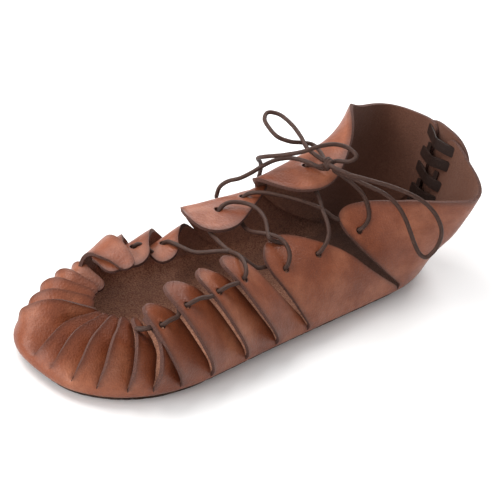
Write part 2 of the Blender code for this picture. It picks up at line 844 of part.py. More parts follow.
def add_heel_thong(material):
    """The flat thong inside the heel: straight rows between the quarters, joined at alternate ends."""
    skin = SkinMesh()
    behind = THONG_BEHIND * LEATHER + GAP
    bands = 2 * THONG_ROWS - 1
    levels = [0.0]
    for band in range(bands):
        levels.append(levels[-1] + (THONG_WIDTH if band % 2 == 0 else THONG_STEP - THONG_WIDTH))
    edge = THONG_WIDTH / (2 * THONG_SIDE)
    middle = [edge + (1 - 2 * edge) * k / THONG_COLUMNS for k in range(1, THONG_COLUMNS)]
    places = [0.0, edge, *middle, 1 - edge, 1.0]
    grid = []
    for level in levels:
        row = []
        for across in places:
            share = (2 * across - 1) * THONG_SIDE / OUTLINE_CURVE.girth
            climb = THONG_START * HEEL_TAB_REACH + level
            out, height, heading = climb_path(share, 1.0, 1.0, 0.0, climb)
            row.append(skin.add(place(OUTLINE_CURVE.at(share), OUTLINE_CURVE.outward(share), out, height,
                                      heading, -behind)))
        grid.append(row)
    last = len(places) - 2
    for band in range(bands):
        if band % 2 == 0:
            columns = range(last + 1)
        else:
            columns = (last,) if band % 4 == 1 else (0,)
        for j in columns:
            skin.quad(grid[band][j], grid[band + 1][j], grid[band + 1][j + 1], grid[band][j + 1])
    loose = [vert for vert in skin.bm.verts if not vert.link_faces]
    for vert in loose:
        skin.bm.verts.remove(vert)
    return skin.finish("heel_thong", THONG_THICKNESS, material)


def cord_spot(row: CordRow) -> Vector:
    return Vector(((row.along - 0.5) * LENGTH, row.side * BALL_WIDTH, row.height * INSTEP_HEIGHT))


def smooth_route(rows: tuple) -> list[Vector]:
    """A cord's points with more between them, on the smooth curve through them."""
    spots = [cord_spot(row) for row in rows]
    ends = [2 * spots[0] - spots[1]] + spots + [2 * spots[-1] - spots[-2]]
    route = []
    for k in range(len(spots) - 1):
        route += [catmull(*ends[k : k + 4], step / CORD_STEPS) for step in range(CORD_STEPS)]
    return route + [spots[-1]]


def add_cord(name: str, route: list[Vector], material):
    """A round cord along a route, closed at both ends."""
    curve = bpy.data.curves.new(name, "CURVE")
    curve.dimensions = "3D"
    curve.bevel_depth = CORD_RADIUS
    curve.bevel_resolution = 1
    curve.use_fill_caps = True
    line = curve.splines.new("POLY")
    line.points.add(len(route) - 1)
    for point, spot in zip(line.points, route):
        point.co = (*spot, 1.0)
    curve.materials.append(material)
    cord = bpy.data.objects.new(name, curve)
    bpy.context.scene.collection.objects.link(cord)
    return cord


def add_round_bar(name: str, route: list[Vector], material):
    """A mesh tube along a route, closed at both ends."""
    skin = SkinMesh()
    rings = []
    side = Vector((0.0, 0.0, 1.0))
    for k, spot in enumerate(route):
        along = (route[min(k + 1, len(route) - 1)] - route[max(k - 1, 0)]).normalized()
        side = (side - along * side.dot(along)).normalized()
        over = along.cross(side)
        ring = []
        for j in range(CORD_SIDES):
            turn = 2 * math.pi * j / CORD_SIDES
            ring.append(skin.add(spot + (side * math.cos(turn) + over * math.sin(turn)) * CORD_RADIUS))
        rings.append(ring)
    for low, high in zip(rings, rings[1:]):
        for j in range(CORD_SIDES):
            skin.quad(low[j], low[(j + 1) % CORD_SIDES], high[(j + 1) % CORD_SIDES], high[j])
    skin.bm.faces.new(rings[0][::-1])
    skin.bm.faces.new(rings[-1])
    return skin.finish(name, 0.0, material)


def add_crossing(name: str, over: tuple, under: tuple, material):
    """Two runs of the lace across the throat, joined where they cross."""
    crossing = add_round_bar(name, smooth_route(over), material)
    other = add_round_bar(f"{name}_other_run", smooth_route(under), material)
    other.hide_render = True
    other.display_type = "WIRE"
    union = crossing.modifiers.new("join", "BOOLEAN")
    union.operation = "UNION"
    union.solver = "EXACT"
    union.object = other
    return crossing


def knot_route() -> list[Vector]:
    """Two turns of the lace round the bow's middle."""
    centre = cord_spot(KNOT_CENTRE)
    steps = 2 * KNOT_STEPS
    route = []
    for k in range(steps + 1):
        turn = 2 * math.pi * k / KNOT_STEPS
        shift = (k / steps - 0.5) * 2 * KNOT_PITCH
        route.append(centre + Vector((math.cos(turn) * KNOT_RADIUS, shift, math.sin(turn) * KNOT_RADIUS)))
    return route


def main() -> None:
    clear_scene()
    add_upper(make_flaps())
    add_sole()
    lace = make_material("dark_lace", (0.060, 0.024, 0.014), 0.45)
    add_heel_thong(make_material("black_thong", (0.020, 0.011, 0.008), 0.50))
    for k, rows in enumerate((GATHER_1, GATHER_2, GATHER_3, GATHER_4, GATHER_5), start=1):
        add_round_bar(f"lace_gather_{k}", smooth_route(rows), lace)
    add_crossing("lace_crossing_1", NEAR_TO_FAR_1, FAR_TO_NEAR_1, lace)
    add_crossing("lace_crossing_2", NEAR_TO_FAR_2, FAR_TO_NEAR_2, lace)
    add_crossing("lace_crossing_3", NEAR_TO_FAR_3, FAR_TO_NEAR_3, lace)
    add_round_bar("lace_to_knot", smooth_route(TO_KNOT), lace)
    add_cord("lace_knot", knot_route(), lace)
    add_cord("bow_loop_up", smooth_route(BOW_LOOP_UP), lace)
    add_cord("bow_loop_near", smooth_route(BOW_LOOP_NEAR), lace)
    add_cord("lace_end_a", smooth_route(LACE_END_A), lace)
    add_cord("lace_end_b", smooth_route(LACE_END_B), lace)


if __name__ == "__main__":
    main()
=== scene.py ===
"""The looks of a left medieval lace-up shoe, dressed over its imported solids.

One piece of leather, slit round its edge, stands up as flaps and is gathered over the foot by a round
leather lace. The finished upper, sole, heel thong and lace are modelled here in the frame's own place,
from the same named sizes as their solids. Toe towards -X, outer side of the foot towards -Y. Metres.
"""

from __future__ import annotations

import logging
import math
from dataclasses import dataclass, field
from enum import Enum
from typing import NamedTuple, Sequence

import bmesh
import bpy
from mathutils import Matrix, Vector, noise

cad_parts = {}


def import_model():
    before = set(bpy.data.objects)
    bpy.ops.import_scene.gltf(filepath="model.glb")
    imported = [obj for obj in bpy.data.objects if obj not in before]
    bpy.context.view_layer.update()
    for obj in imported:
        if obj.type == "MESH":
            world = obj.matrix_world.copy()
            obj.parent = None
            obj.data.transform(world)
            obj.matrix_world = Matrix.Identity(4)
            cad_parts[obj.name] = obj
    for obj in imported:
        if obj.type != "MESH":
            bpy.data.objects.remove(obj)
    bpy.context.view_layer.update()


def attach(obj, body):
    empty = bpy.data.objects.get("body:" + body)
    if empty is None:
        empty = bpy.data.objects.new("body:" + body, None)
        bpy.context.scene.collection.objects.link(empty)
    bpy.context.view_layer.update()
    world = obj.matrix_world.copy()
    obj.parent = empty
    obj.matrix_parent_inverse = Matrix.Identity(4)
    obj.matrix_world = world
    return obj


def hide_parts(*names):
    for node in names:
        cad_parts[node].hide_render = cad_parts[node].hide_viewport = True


LOG = logging.getLogger("shoe")
BODY = "root"


class Slot(Enum):
    """The material slots of the record."""

    LEATHER = "brown_leather"
    SUEDE = "dark_suede"
    THONG = "black_thong"
    LACE = "dark_lace"


@dataclass(frozen=True)
class ShoeSizes:
    """The real sizes that every piece of the shoe is worked out from."""

    length: float = 0.270
    ball_width: float = 0.098
    leather: float = 0.0021
    sole_thickness: float = 0.0026
    turn_radius: float = 0.008
    toe_spring: float = 0.0015
    quarter_reach: float = 0.086
    middle_reach: float = 0.070
    petal_reach: float = 0.070
    heel_tab_reach: float = 0.085
    rim_radius: float = 0.019
    instep_height: float = 0.070
    hole_radius: float = 0.0019
    lace_radius: float = 0.0012
    thong_thickness: float = 0.0010
    thong_width: float = 0.0066
    thong_step: float = 0.0120
    thong_side: float = 0.012
    gap: float = 0.0003
    slit: float = 0.0008

    @property
    def slit_root(self) -> float:
        """The climb of the leather at which the slits start."""
        return self.turn_radius * math.radians(68)

    @property
    def floor(self) -> float:
        """The height of the leather's underside above the ground."""
        return self.sole_thickness + self.gap

    @property
    def sole_inset(self) -> float:
        """How far the sole's edge lies inside the widest outline."""
        return 0.75 * self.turn_radius

    @property
    def spring_start(self) -> float:
        """The distance from the toe tip at which the toe spring starts."""
        return 0.17 * self.length

    @property
    def fan_centre(self) -> Vector:
        """The place in plan that the toe tabs aim at."""
        return Vector((-0.267 * self.length, 0.03 * self.ball_width))


SIZES = ShoeSizes()

# Climbs above the slits' roots, and shares of a flap's way up, over which flaps part, tilt, lean and
# slip under each other
OFF_OVER = 0.008
TILT_OVER = 0.013
TUCK_START = 0.009
TUCK_OVER = 0.030
LEAN_DELAY = 0.06
UNDER_OVER = 0.012
UNDER_FADE = 0.72

# Fineness of the leather's mesh: cells to each coarse cell of the solid, and steps of the outline
FINE = 2
OUTLINE_STEPS = 12
TURN_ROWS = 4
FLOOR_RINGS = (0.86, 0.64, 0.42, 0.20)
FLOOR_SPINE = 0.34


def smooth_step(share: float) -> float:
    """Eases a share from 0 to 1.

    Args:
        share: The plain share, which may lie outside 0 to 1.

    Returns:
        The eased share, from 0 to 1.
    """
    share = min(1.0, max(0.0, share))
    return share * share * (3 - 2 * share)


def catmull(a: Vector, b: Vector, c: Vector, d: Vector, share: float) -> Vector:
    """Finds a point between b and c on the smooth curve through four points.

    Args:
        a: The point before b.
        b: Where the stretch starts.
        c: Where the stretch ends.
        d: The point after c.
        share: How far along the stretch the point lies.

    Returns:
        The point on the curve.
    """
    return 0.5 * (
        2 * b
        + (c - a) * share
        + (2 * a - 5 * b + 4 * c - d) * share**2
        + (3 * b - a - 3 * c + d) * share**3
    )


def blend_rows(rows: Sequence[tuple], key: float) -> tuple[float, ...]:
    """Reads a table between its rows, on smooth curves that level out at its ends.

    Args:
        rows: Rows whose first column rises from row to row.
        key: The value of the first column that is asked for.

    Returns:
        The whole row at that key.
    """
    last = len(rows) - 1
    k = 0
    while k < last - 1 and key > rows[k + 1][0]:
        k += 1
    low, high = rows[k], rows[k + 1]
    span = high[0] - low[0]
    share = min(1.0, max(0.0, (key - low[0]) / span))
    values = [key]
    for column in range(1, len(low)):
        start = column_slope(rows, k, column) * span
        end = column_slope(rows, k + 1, column) * span
        rise = high[column] - low[column]
        values.append(
            low[column]
            + start * share
            + (3 * rise - 2 * start - end) * share**2
            + (start + end - 2 * rise) * share**3
        )
    return tuple(values)


def column_slope(rows: Sequence[tuple], row: int, column: int) -> float:
    """Finds how steeply a column of a table changes at a row.

    Args:
        rows: The table.
        row: The row's number.
        column: The column's number.

    Returns:
        The slope, which is none at the first and last row.
    """
    if row in (0, len(rows) - 1):
        return 0.0
    return (rows[row + 1][column] - rows[row - 1][column]) / (rows[row + 1][0] - rows[row - 1][0])


def rows_of(kind: type, *rows: tuple) -> tuple:
    """A table of rows of one kind, from each row's values in order."""
    return tuple(kind(*row) for row in rows)


class OutlineRow(NamedTuple):
    """A station of the widest outline: place as a share of LENGTH, sides as shares of BALL_WIDTH."""

    along: float
    outer: float
    inner: float


OUTLINE = rows_of(
    OutlineRow,
    (0.000, 0.085, 0.085), (0.009, -0.105, 0.190), (0.026, -0.228, 0.262), (0.058, -0.330, 0.335),
    (0.110, -0.425, 0.400), (0.180, -0.492, 0.450), (0.260, -0.512, 0.472), (0.350, -0.490, 0.460),
    (0.480, -0.448, 0.420), (0.630, -0.408, 0.386), (0.760, -0.374, 0.364), (0.860, -0.342, 0.332),
    (0.935, -0.256, 0.246), (0.983, -0.128, 0.122), (1.000, 0.000, 0.000),
)


class WallRow(NamedTuple):
    """The wall at a share of the way round the outline: its angle in degrees and its turn's radius.

    The radius is a share of TURN_RADIUS.
    """

    around: float
    angle: float
    turn: float


WALL = rows_of(
    WallRow,
    (0.000, 90.0, 1.0), (0.030, 80.0, 1.0), (0.055, 67.0, 1.0), (0.080, 80.0, 1.0), (0.105, 96.0, 1.0),
    (0.240, 104.0, 1.0), (0.340, 104.0, 1.0), (0.390, 106.0, 0.9), (0.430, 116.0, 0.75),
    (0.480, 130.0, 0.6), (0.520, 136.0, 0.6), (0.560, 130.0, 0.6), (0.600, 110.0, 0.8),
    (0.660, 96.0, 1.0), (0.760, 91.0, 1.0), (0.885, 90.0, 1.0), (0.920, 80.0, 1.0), (0.950, 72.0, 1.0),
    (0.975, 81.0, 1.0), (1.000, 90.0, 1.0),
)


class Section(NamedTuple):
    """A flap's shape at a place across it, from its first edge at 0 to its last at 1.

    reach is a share of the flap's named reach. The leather bends inwards by bend degrees, from
    bend_from over bend_over, shares of the reach. off is how far it stands off the plain wall near
    the top, as a multiple of the leather's thickness.
    """

    across: float
    reach: float
    bend_from: float
    bend_over: float
    bend: float
    off: float


class Flap(NamedTuple):
    """A flap of the slit edge, from start to end, shares of the way round the outline.

    lean_start and lean_end are how far its two edges shift round the outline on the way up, and
    round_start and round_end are the radii of its corners, all as shares of its reach. A flap with no
    reach of its own runs to the rim of the fan. tilt turns it about its own length so that its last
    edge lifts, in degrees. hold is 1 where it stays straight instead of following the outline.
    ease is how early its edges reach their lean, and under is how far its first edge runs on beneath its
    neighbour, in metres. tucked names the edge that slips under the heel tab.
    holes are the fine column and row of each hole.
    """

    name: str
    start: float
    end: float
    columns: int
    rows: int
    reach: float
    lean_start: float
    lean_end: float
    round_start: float
    round_end: float
    tilt: float
    hold: float
    ease: float
    under: float
    tucked: str
    holes: tuple
    sections: tuple


OUTER_QUARTER = rows_of(
    Section,
    (0.00, 0.96, 0.50, 0.40, 0.0, -1.3), (0.20, 0.90, 0.50, 0.40, 8.0, -1.3),
    (0.40, 0.82, 0.45, 0.40, 14.0, -0.2), (0.65, 0.77, 0.25, 0.60, 16.0, 0.0),
    (0.85, 0.80, 0.16, 0.60, 46.0, 0.0), (1.00, 0.80, 0.16, 0.60, 54.0, 0.0),
)
INNER_QUARTER = rows_of(
    Section,
    (0.00, 1.08, 0.60, 0.28, 88.0, -1.2), (0.16, 1.14, 0.63, 0.28, 84.0, -0.5),
    (0.32, 1.12, 0.66, 0.28, 58.0, 0.0), (0.46, 1.08, 0.62, 0.30, 12.0, 0.0),
    (0.60, 0.99, 0.50, 0.40, 12.0, -0.2), (0.80, 0.95, 0.50, 0.40, 6.0, -1.3),
    (1.00, 0.97, 0.50, 0.40, 0.0, -1.3),
)
OUTER_MIDDLE = rows_of(
    Section,
    (0.00, 0.80, 0.20, 0.66, 50.0, -0.4), (0.45, 0.97, 0.20, 0.66, 58.0, 0.0),
    (1.00, 0.90, 0.20, 0.66, 54.0, 0.6),
)
INNER_MIDDLE = rows_of(
    Section,
    (0.00, 1.08, 0.59, 0.26, 94.0, 0.0), (0.50, 1.12, 0.59, 0.26, 92.0, 0.0),
    (1.00, 0.92, 0.59, 0.26, 86.0, 0.6),
)
OUTER_PETAL = rows_of(
    Section,
    (0.00, 0.94, 0.18, 0.64, 56.0, -0.3), (1.00, 0.94, 0.18, 0.64, 56.0, 0.5),
)
INNER_PETAL = rows_of(
    Section,
    (0.00, 1.04, 0.44, 0.44, 94.0, -0.3), (1.00, 1.04, 0.44, 0.44, 94.0, 0.5),
)
HEEL_TAB_SECTIONS = rows_of(
    Section,
    (0.00, 0.97, 0.55, 0.40, 0.0, 0.1), (0.50, 1.00, 0.55, 0.40, 0.0, 0.1),
    (1.00, 0.97, 0.55, 0.40, 0.0, 0.1),
)

OUTER_SLITS = (0.030, 0.1005, 0.2165, 0.255, 0.292, 0.333, 0.3655)
INNER_SLITS = (0.635, 0.667, 0.708, 0.7455, 0.784, 0.900, 0.970)
FAN_SLITS = (0.3655, 0.391, 0.413, 0.4385, 0.460, 0.482, 0.5015, 0.550, 0.572, 0.594, 0.615, 0.635)
FAN_BEND = 0.46
FAN_BEND_OVER = 0.22
FAN_END_ANGLE = 190.0
FAN_TIP_WIDTH = 0.0092
FAN_TILT = 37.0
FAN_ROUND = 0.08
FAN_WIDE = 0.04
FAN_WIDE_HOLD = 0.4


class PetalRow(NamedTuple):
    """A petal's reach as a share of PETAL_REACH, and the lean of its rear and front edges."""

    reach: float
    trailing: float
    leading: float


OUTER_PETALS = rows_of(
    PetalRow,
    (1.00, 0.54, 0.44), (1.00, 0.42, 0.34), (1.00, 0.35, 0.30), (0.88, 0.33, 0.29),
)
INNER_PETALS = rows_of(
    PetalRow,
    (1.00, 0.68, 0.57), (1.00, 0.58, 0.47), (1.00, 0.48, 0.32), (1.00, 0.14, 0.00),
)
PETAL_TILT = 14.0
PETAL_ROUND = 0.12
EASE = 0.6
FULL_EASE = 1.15
EARLY_EASE = 1.5
PETAL_UNDER = 0.005
FAN_UNDER = 0.004
QUARTER_UNDER = 0.007


class CordRow(NamedTuple):
    """A point on a cord: shares of LENGTH from the toe, BALL_WIDTH to the inner side, INSTEP_HEIGHT up."""

    along: float
    side: float
    height: float


GATHER_1 = rows_of(
    CordRow,
    (0.154, -0.273, 0.5186), (0.160, -0.307, 0.5371), (0.167, -0.336, 0.5486),
)
GATHER_2 = rows_of(
    CordRow,
    (0.200, -0.352, 0.5929), (0.215, -0.351, 0.6143), (0.230, -0.356, 0.6229),
)
GATHER_3 = rows_of(
    CordRow,
    (0.266, -0.317, 0.6657), (0.289, -0.322, 0.6857), (0.313, -0.332, 0.6757),
)
GATHER_4 = rows_of(
    CordRow,
    (0.343, -0.296, 0.6743), (0.363, -0.306, 0.6971), (0.383, -0.310, 0.6929),
)
NEAR_TO_FAR_1 = rows_of(
    CordRow,
    (0.409, -0.287, 0.713), (0.418, -0.224, 0.749), (0.424, -0.153, 0.746), (0.428, -0.071, 0.697),
    (0.435, 0.031, 0.664), (0.443, 0.112, 0.640), (0.448, 0.173, 0.631),
)
FAR_TO_NEAR_1 = rows_of(
    CordRow,
    (0.387, 0.077, 0.593), (0.404, 0.010, 0.643), (0.428, -0.071, 0.697), (0.448, -0.138, 0.664),
    (0.467, -0.184, 0.607),
)
NEAR_TO_FAR_2 = rows_of(
    CordRow,
    (0.536, -0.267, 0.599), (0.542, -0.209, 0.677), (0.541, -0.133, 0.737), (0.526, -0.056, 0.734),
    (0.517, 0.031, 0.679), (0.522, 0.102, 0.637), (0.526, 0.143, 0.631),
)
FAR_TO_NEAR_2 = rows_of(
    CordRow,
    (0.484, 0.259, 0.743), (0.511, 0.245, 0.766), (0.537, 0.184, 0.784), (0.546, 0.102, 0.786),
    (0.543, 0.031, 0.766), (0.526, -0.056, 0.734), (0.520, -0.088, 0.729),
)
NEAR_TO_FAR_3 = rows_of(
    CordRow,
    (0.632, -0.216, 0.613), (0.647, -0.192, 0.680), (0.659, -0.139, 0.737), (0.670, -0.036, 0.790),
    (0.680, 0.046, 0.843), (0.683, 0.102, 0.869),
)
FAR_TO_NEAR_3 = rows_of(
    CordRow,
    (0.553, 0.269, 0.757), (0.581, 0.224, 0.803), (0.609, 0.143, 0.820), (0.637, 0.056, 0.820),
    (0.670, -0.036, 0.790), (0.693, -0.092, 0.723), (0.706, -0.117, 0.669),
)
TO_KNOT = rows_of(
    CordRow,
    (0.757, -0.178, 0.719), (0.758, -0.147, 0.814), (0.753, -0.096, 0.897), (0.737, -0.059, 0.960),
    (0.719, -0.022, 1.020), (0.704, 0.002, 1.057),
)
BOW_LOOP_UP = rows_of(
    CordRow,
    (0.681, 0.099, 1.134), (0.673, 0.189, 1.154), (0.680, 0.273, 1.177), (0.683, 0.373, 1.203),
    (0.677, 0.474, 1.217), (0.659, 0.510, 1.217), (0.642, 0.476, 1.200), (0.637, 0.410, 1.179),
    (0.640, 0.341, 1.157), (0.661, 0.291, 1.136), (0.687, 0.269, 1.120), (0.706, 0.239, 1.109),
    (0.707, 0.179, 1.100), (0.697, 0.100, 1.094),
)
BOW_LOOP_NEAR = rows_of(
    CordRow,
    (0.681, 0.002, 1.146), (0.699, -0.097, 1.140), (0.726, -0.176, 1.134), (0.759, -0.255, 1.114),
    (0.790, -0.331, 1.080), (0.815, -0.396, 1.029), (0.835, -0.449, 0.943), (0.850, -0.485, 0.821),
    (0.854, -0.490, 0.714), (0.846, -0.488, 0.614), (0.831, -0.480, 0.564), (0.817, -0.464, 0.593),
    (0.804, -0.437, 0.679), (0.793, -0.404, 0.786), (0.783, -0.367, 0.886), (0.772, -0.316, 0.971),
    (0.757, -0.245, 1.029), (0.736, -0.163, 1.054), (0.713, -0.082, 1.080), (0.693, 0.001, 1.103),
)
LACE_END_A = rows_of(
    CordRow,
    (0.705, 0.039, 1.137), (0.721, -0.020, 1.169), (0.732, -0.031, 1.214), (0.728, 0.022, 1.243),
    (0.709, 0.077, 1.254), (0.676, 0.108, 1.243), (0.643, 0.137, 1.200), (0.620, 0.210, 1.126),
    (0.605, 0.311, 1.034), (0.612, 0.378, 0.951), (0.635, 0.413, 0.857), (0.650, 0.439, 0.757),
    (0.656, 0.454, 0.657), (0.656, 0.455, 0.557),
)
LACE_END_B = rows_of(
    CordRow,
    (0.6707, 0.069, 1.094), (0.664, 0.143, 1.077), (0.651, 0.230, 1.046), (0.631, 0.286, 1.000),
    (0.611, 0.320, 0.937), (0.589, 0.337, 0.877), (0.569, 0.361, 0.823), (0.556, 0.414, 0.757),
    (0.552, 0.455, 0.666), (0.552, 0.465, 0.557),
)

KNOT_CENTRE = CordRow(0.689, 0.051, 1.114)


class Crease(NamedTuple):
    """A soft trough or ridge on a flap, at a place across it and a share of the way up it.

    turn is its direction from straight across, in degrees. length, width and height are real sizes, and
    height is below zero for a trough.
    """

    flap: str
    across: float
    up: float
    turn: float
    length: float
    width: float
    height: float


CREASES = rows_of(
    Crease,
    ("middle_outer", 0.55, 0.30, 12.0, 0.036, 0.0060, -0.0007),
    ("middle_outer", 0.30, 0.52, -30.0, 0.022, 0.0050, 0.0005),
    ("middle_outer", 0.80, 0.18, 60.0, 0.014, 0.0035, -0.0006),
    ("middle_outer", 0.72, 0.86, 5.0, 0.016, 0.0045, 0.0004),
    ("quarter_outer", 0.72, 0.34, -20.0, 0.030, 0.0070, -0.0008),
    ("quarter_outer", 0.48, 0.55, 74.0, 0.030, 0.0080, 0.0009),
    ("quarter_outer", 0.30, 0.30, 64.0, 0.026, 0.0070, -0.0008),
    ("quarter_outer", 0.90, 0.52, 40.0, 0.014, 0.0040, -0.0005),
    ("quarter_inner", 0.24, 0.46, 8.0, 0.030, 0.0060, -0.0009),
    ("quarter_inner", 0.20, 0.60, -10.0, 0.024, 0.0050, 0.0006),
    ("quarter_inner", 0.55, 0.60, 70.0, 0.030, 0.0080, 0.0008),
    ("middle_inner", 0.50, 0.42, 4.0, 0.034, 0.0060, -0.0008),
    ("middle_inner", 0.50, 0.62, -8.0, 0.026, 0.0050, 0.0005),
    ("heel_tab", 0.50, 0.50, 0.0, 0.030, 0.0080, -0.0007),
    ("petal_outer_0", 0.45, 0.40, 20.0, 0.014, 0.0050, -0.0005),
    ("petal_outer_1", 0.50, 0.34, -15.0, 0.014, 0.0050, -0.0005),
    ("petal_outer_2", 0.50, 0.42, 10.0, 0.013, 0.0045, -0.0004),
    ("petal_outer_3", 0.45, 0.30, -12.0, 0.012, 0.0045, -0.0004),
)
# Short stretch wrinkles at the foot of the toe, where the wet leather was pulled round the last
PULLS = (
    ("toe_tab_2", 0.70), ("toe_tab_3", 0.28), ("toe_tab_3", 0.72), ("toe_tab_4", 0.40),
    ("toe_tab_1", 0.55), ("toe_tab_0", 0.45), ("toe_tab_5", 0.50),
)
PULL_LINES = 3
PULL_TURN = 70.0
PULL_FANNING = 9.0
PULL_SPREAD = 0.10
PULL_LENGTH = 0.007
PULL_WIDTH = 0.0007
PULL_DEPTH = 0.00028
# The skin's slackness, and how much of it the toe tabs and the straight flaps keep
WAVE_SIZE = 0.021
WAVE_HEIGHT = 0.00045
FAN_SLACK = 0.35
HELD_SLACK = 0.6
FLOOR_SWELL = 0.0004
FLOOR_SWELL_SIZE = 0.028
# Shares over which a straight flap leaves the outline, creases fade at the foot, and a tangent is taken
HOLD_OVER = 0.25
FOOT_CALM = 0.18
TANGENT_SPAN = 0.006
# The least and greatest reach tried for a toe tab, and how often the range is halved
FAN_REACHES = (0.03, 0.12)
FAN_TRIES = 30
RUB_WIDTH = 0.0026
DIMPLE_DEPTH = 0.0005
# Each ring of a hole's rim: its radius in hole radii, its sink in dimple depths, and its wear
HOLE_RIMS = ((1.75, 0.0, 0.1), (1.3, 0.10, 0.35), (1.0, 0.35, 1.0))
RIM_SHARE = 0.92


class Outline:
    """The closed outline, from the heel along the outer side, round the toe and back."""

    def __init__(self, sizes: ShoeSizes) -> None:
        """Works out the outline's points.

        Args:
            sizes: The shoe's sizes.
        """
        outer = [Vector(((r.along - 0.5) * sizes.length, r.outer * sizes.ball_width)) for r in OUTLINE]
        inner = [Vector(((r.along - 0.5) * sizes.length, r.inner * sizes.ball_width)) for r in OUTLINE]
        corners = outer[::-1] + inner[1:-1]
        count = len(corners)
        self.points: list[Vector] = []
        for i in range(count):
            around = [corners[(i + k) % count] for k in (-1, 0, 1, 2)]
            self.points += [catmull(*around, step / OUTLINE_STEPS) for step in range(OUTLINE_STEPS)]
        self.points.append(self.points[0])
        self.lengths = [0.0]
        for a, b in zip(self.points, self.points[1:]):
            self.lengths.append(self.lengths[-1] + (b - a).length)
        self.girth = self.lengths[-1]

    def at(self, share: float) -> Vector:
        """Finds a point of the outline.

        Args:
            share: How far round the outline the point lies.

        Returns:
            The point in plan.
        """
        distance = (share % 1.0) * self.girth
        low, high = 0, len(self.lengths) - 1
        while high - low > 1:
            middle = (low + high) // 2
            if self.lengths[middle] <= distance:
                low = middle
            else:
                high = middle
        step = self.lengths[high] - self.lengths[low]
        return self.points[low].lerp(self.points[high], (distance - self.lengths[low]) / step)

    def onward(self, share: float) -> Vector:
        """The unit direction of the outline, smoothed over a short stretch."""
        return (self.at(share + TANGENT_SPAN) - self.at(share - TANGENT_SPAN)).normalized()

    def outward(self, share: float) -> Vector:
        """The unit direction straight out of the outline."""
        along = self.onward(share)
        return Vector((-along.y, along.x))


OUTLINE_CURVE = Outline(SIZES)


def wall_at(around: float) -> tuple[float, float]:
    """Reads the wall's table.

    Args:
        around: A share of the way round the outline.

    Returns:
        The wall's angle and the radius of its turn.
    """
    _, angle, turn = blend_rows(WALL, around % 1.0)
    return math.radians(angle), turn * SIZES.turn_radius


def floor_lift(x: float) -> float:
    """How far the toe spring lifts the floor at a place along the shoe."""
    ahead = (SIZES.spring_start - (x + SIZES.length / 2)) / SIZES.spring_start
    return SIZES.toe_spring * max(0.0, ahead) ** 2


def climb_path(
    around: float, bend_from: float, bend_over: float, bend: float, climb: float
) -> tuple[float, float, float]:
    """Follows the leather up from the floor's edge.

    Args:
        around: The place round the outline.
        bend_from: The climb at which it bends inwards.
        bend_over: The length of that bend.
        bend: The bend's angle in radians.
        climb: How far up the leather to go.

    Returns:
        The travel outwards, the height, and the heading in radians.
    """
    wall, radius = wall_at(around)
    turn = radius * wall
    stretches = (
        (turn, wall),
        (max(0.0, bend_from - turn), 0.0),
        (bend_over, bend),
        (1.0, 0.0),
    )
    out, height, heading = -radius, 0.0, 0.0
    for length, sweep in stretches:
        part = min(climb, length)
        if part <= 0.0:
            continue
        swept = sweep * part / length
        if abs(swept) > 1e-6:
            radius = part / swept
            out += radius * (math.sin(heading + swept) - math.sin(heading))
            height += radius * (math.cos(heading) - math.cos(heading + swept))
        else:
            out += part * math.cos(heading)
            height += part * math.sin(heading)
        heading += swept
        climb -= part
    return out, height, heading


def place(
    origin: Vector, out_way: Vector, out: float, height: float, heading: float, off: float
) -> Vector:
    """Finds a point in space from a place in plan.

    Args:
        origin: The place in plan.
        out_way: The direction straight out of the outline there.
        out: The travel outwards.
        height: The height above the floor.
        heading: The leather's heading in radians.
        off: How far the point is off the surface along its normal.

    Returns:
        The point.
    """
    out += off * math.sin(heading)
    height -= off * math.cos(heading)
    spot = origin + out_way * out
    return Vector((spot.x, spot.y, SIZES.floor + height + floor_lift(spot.x)))


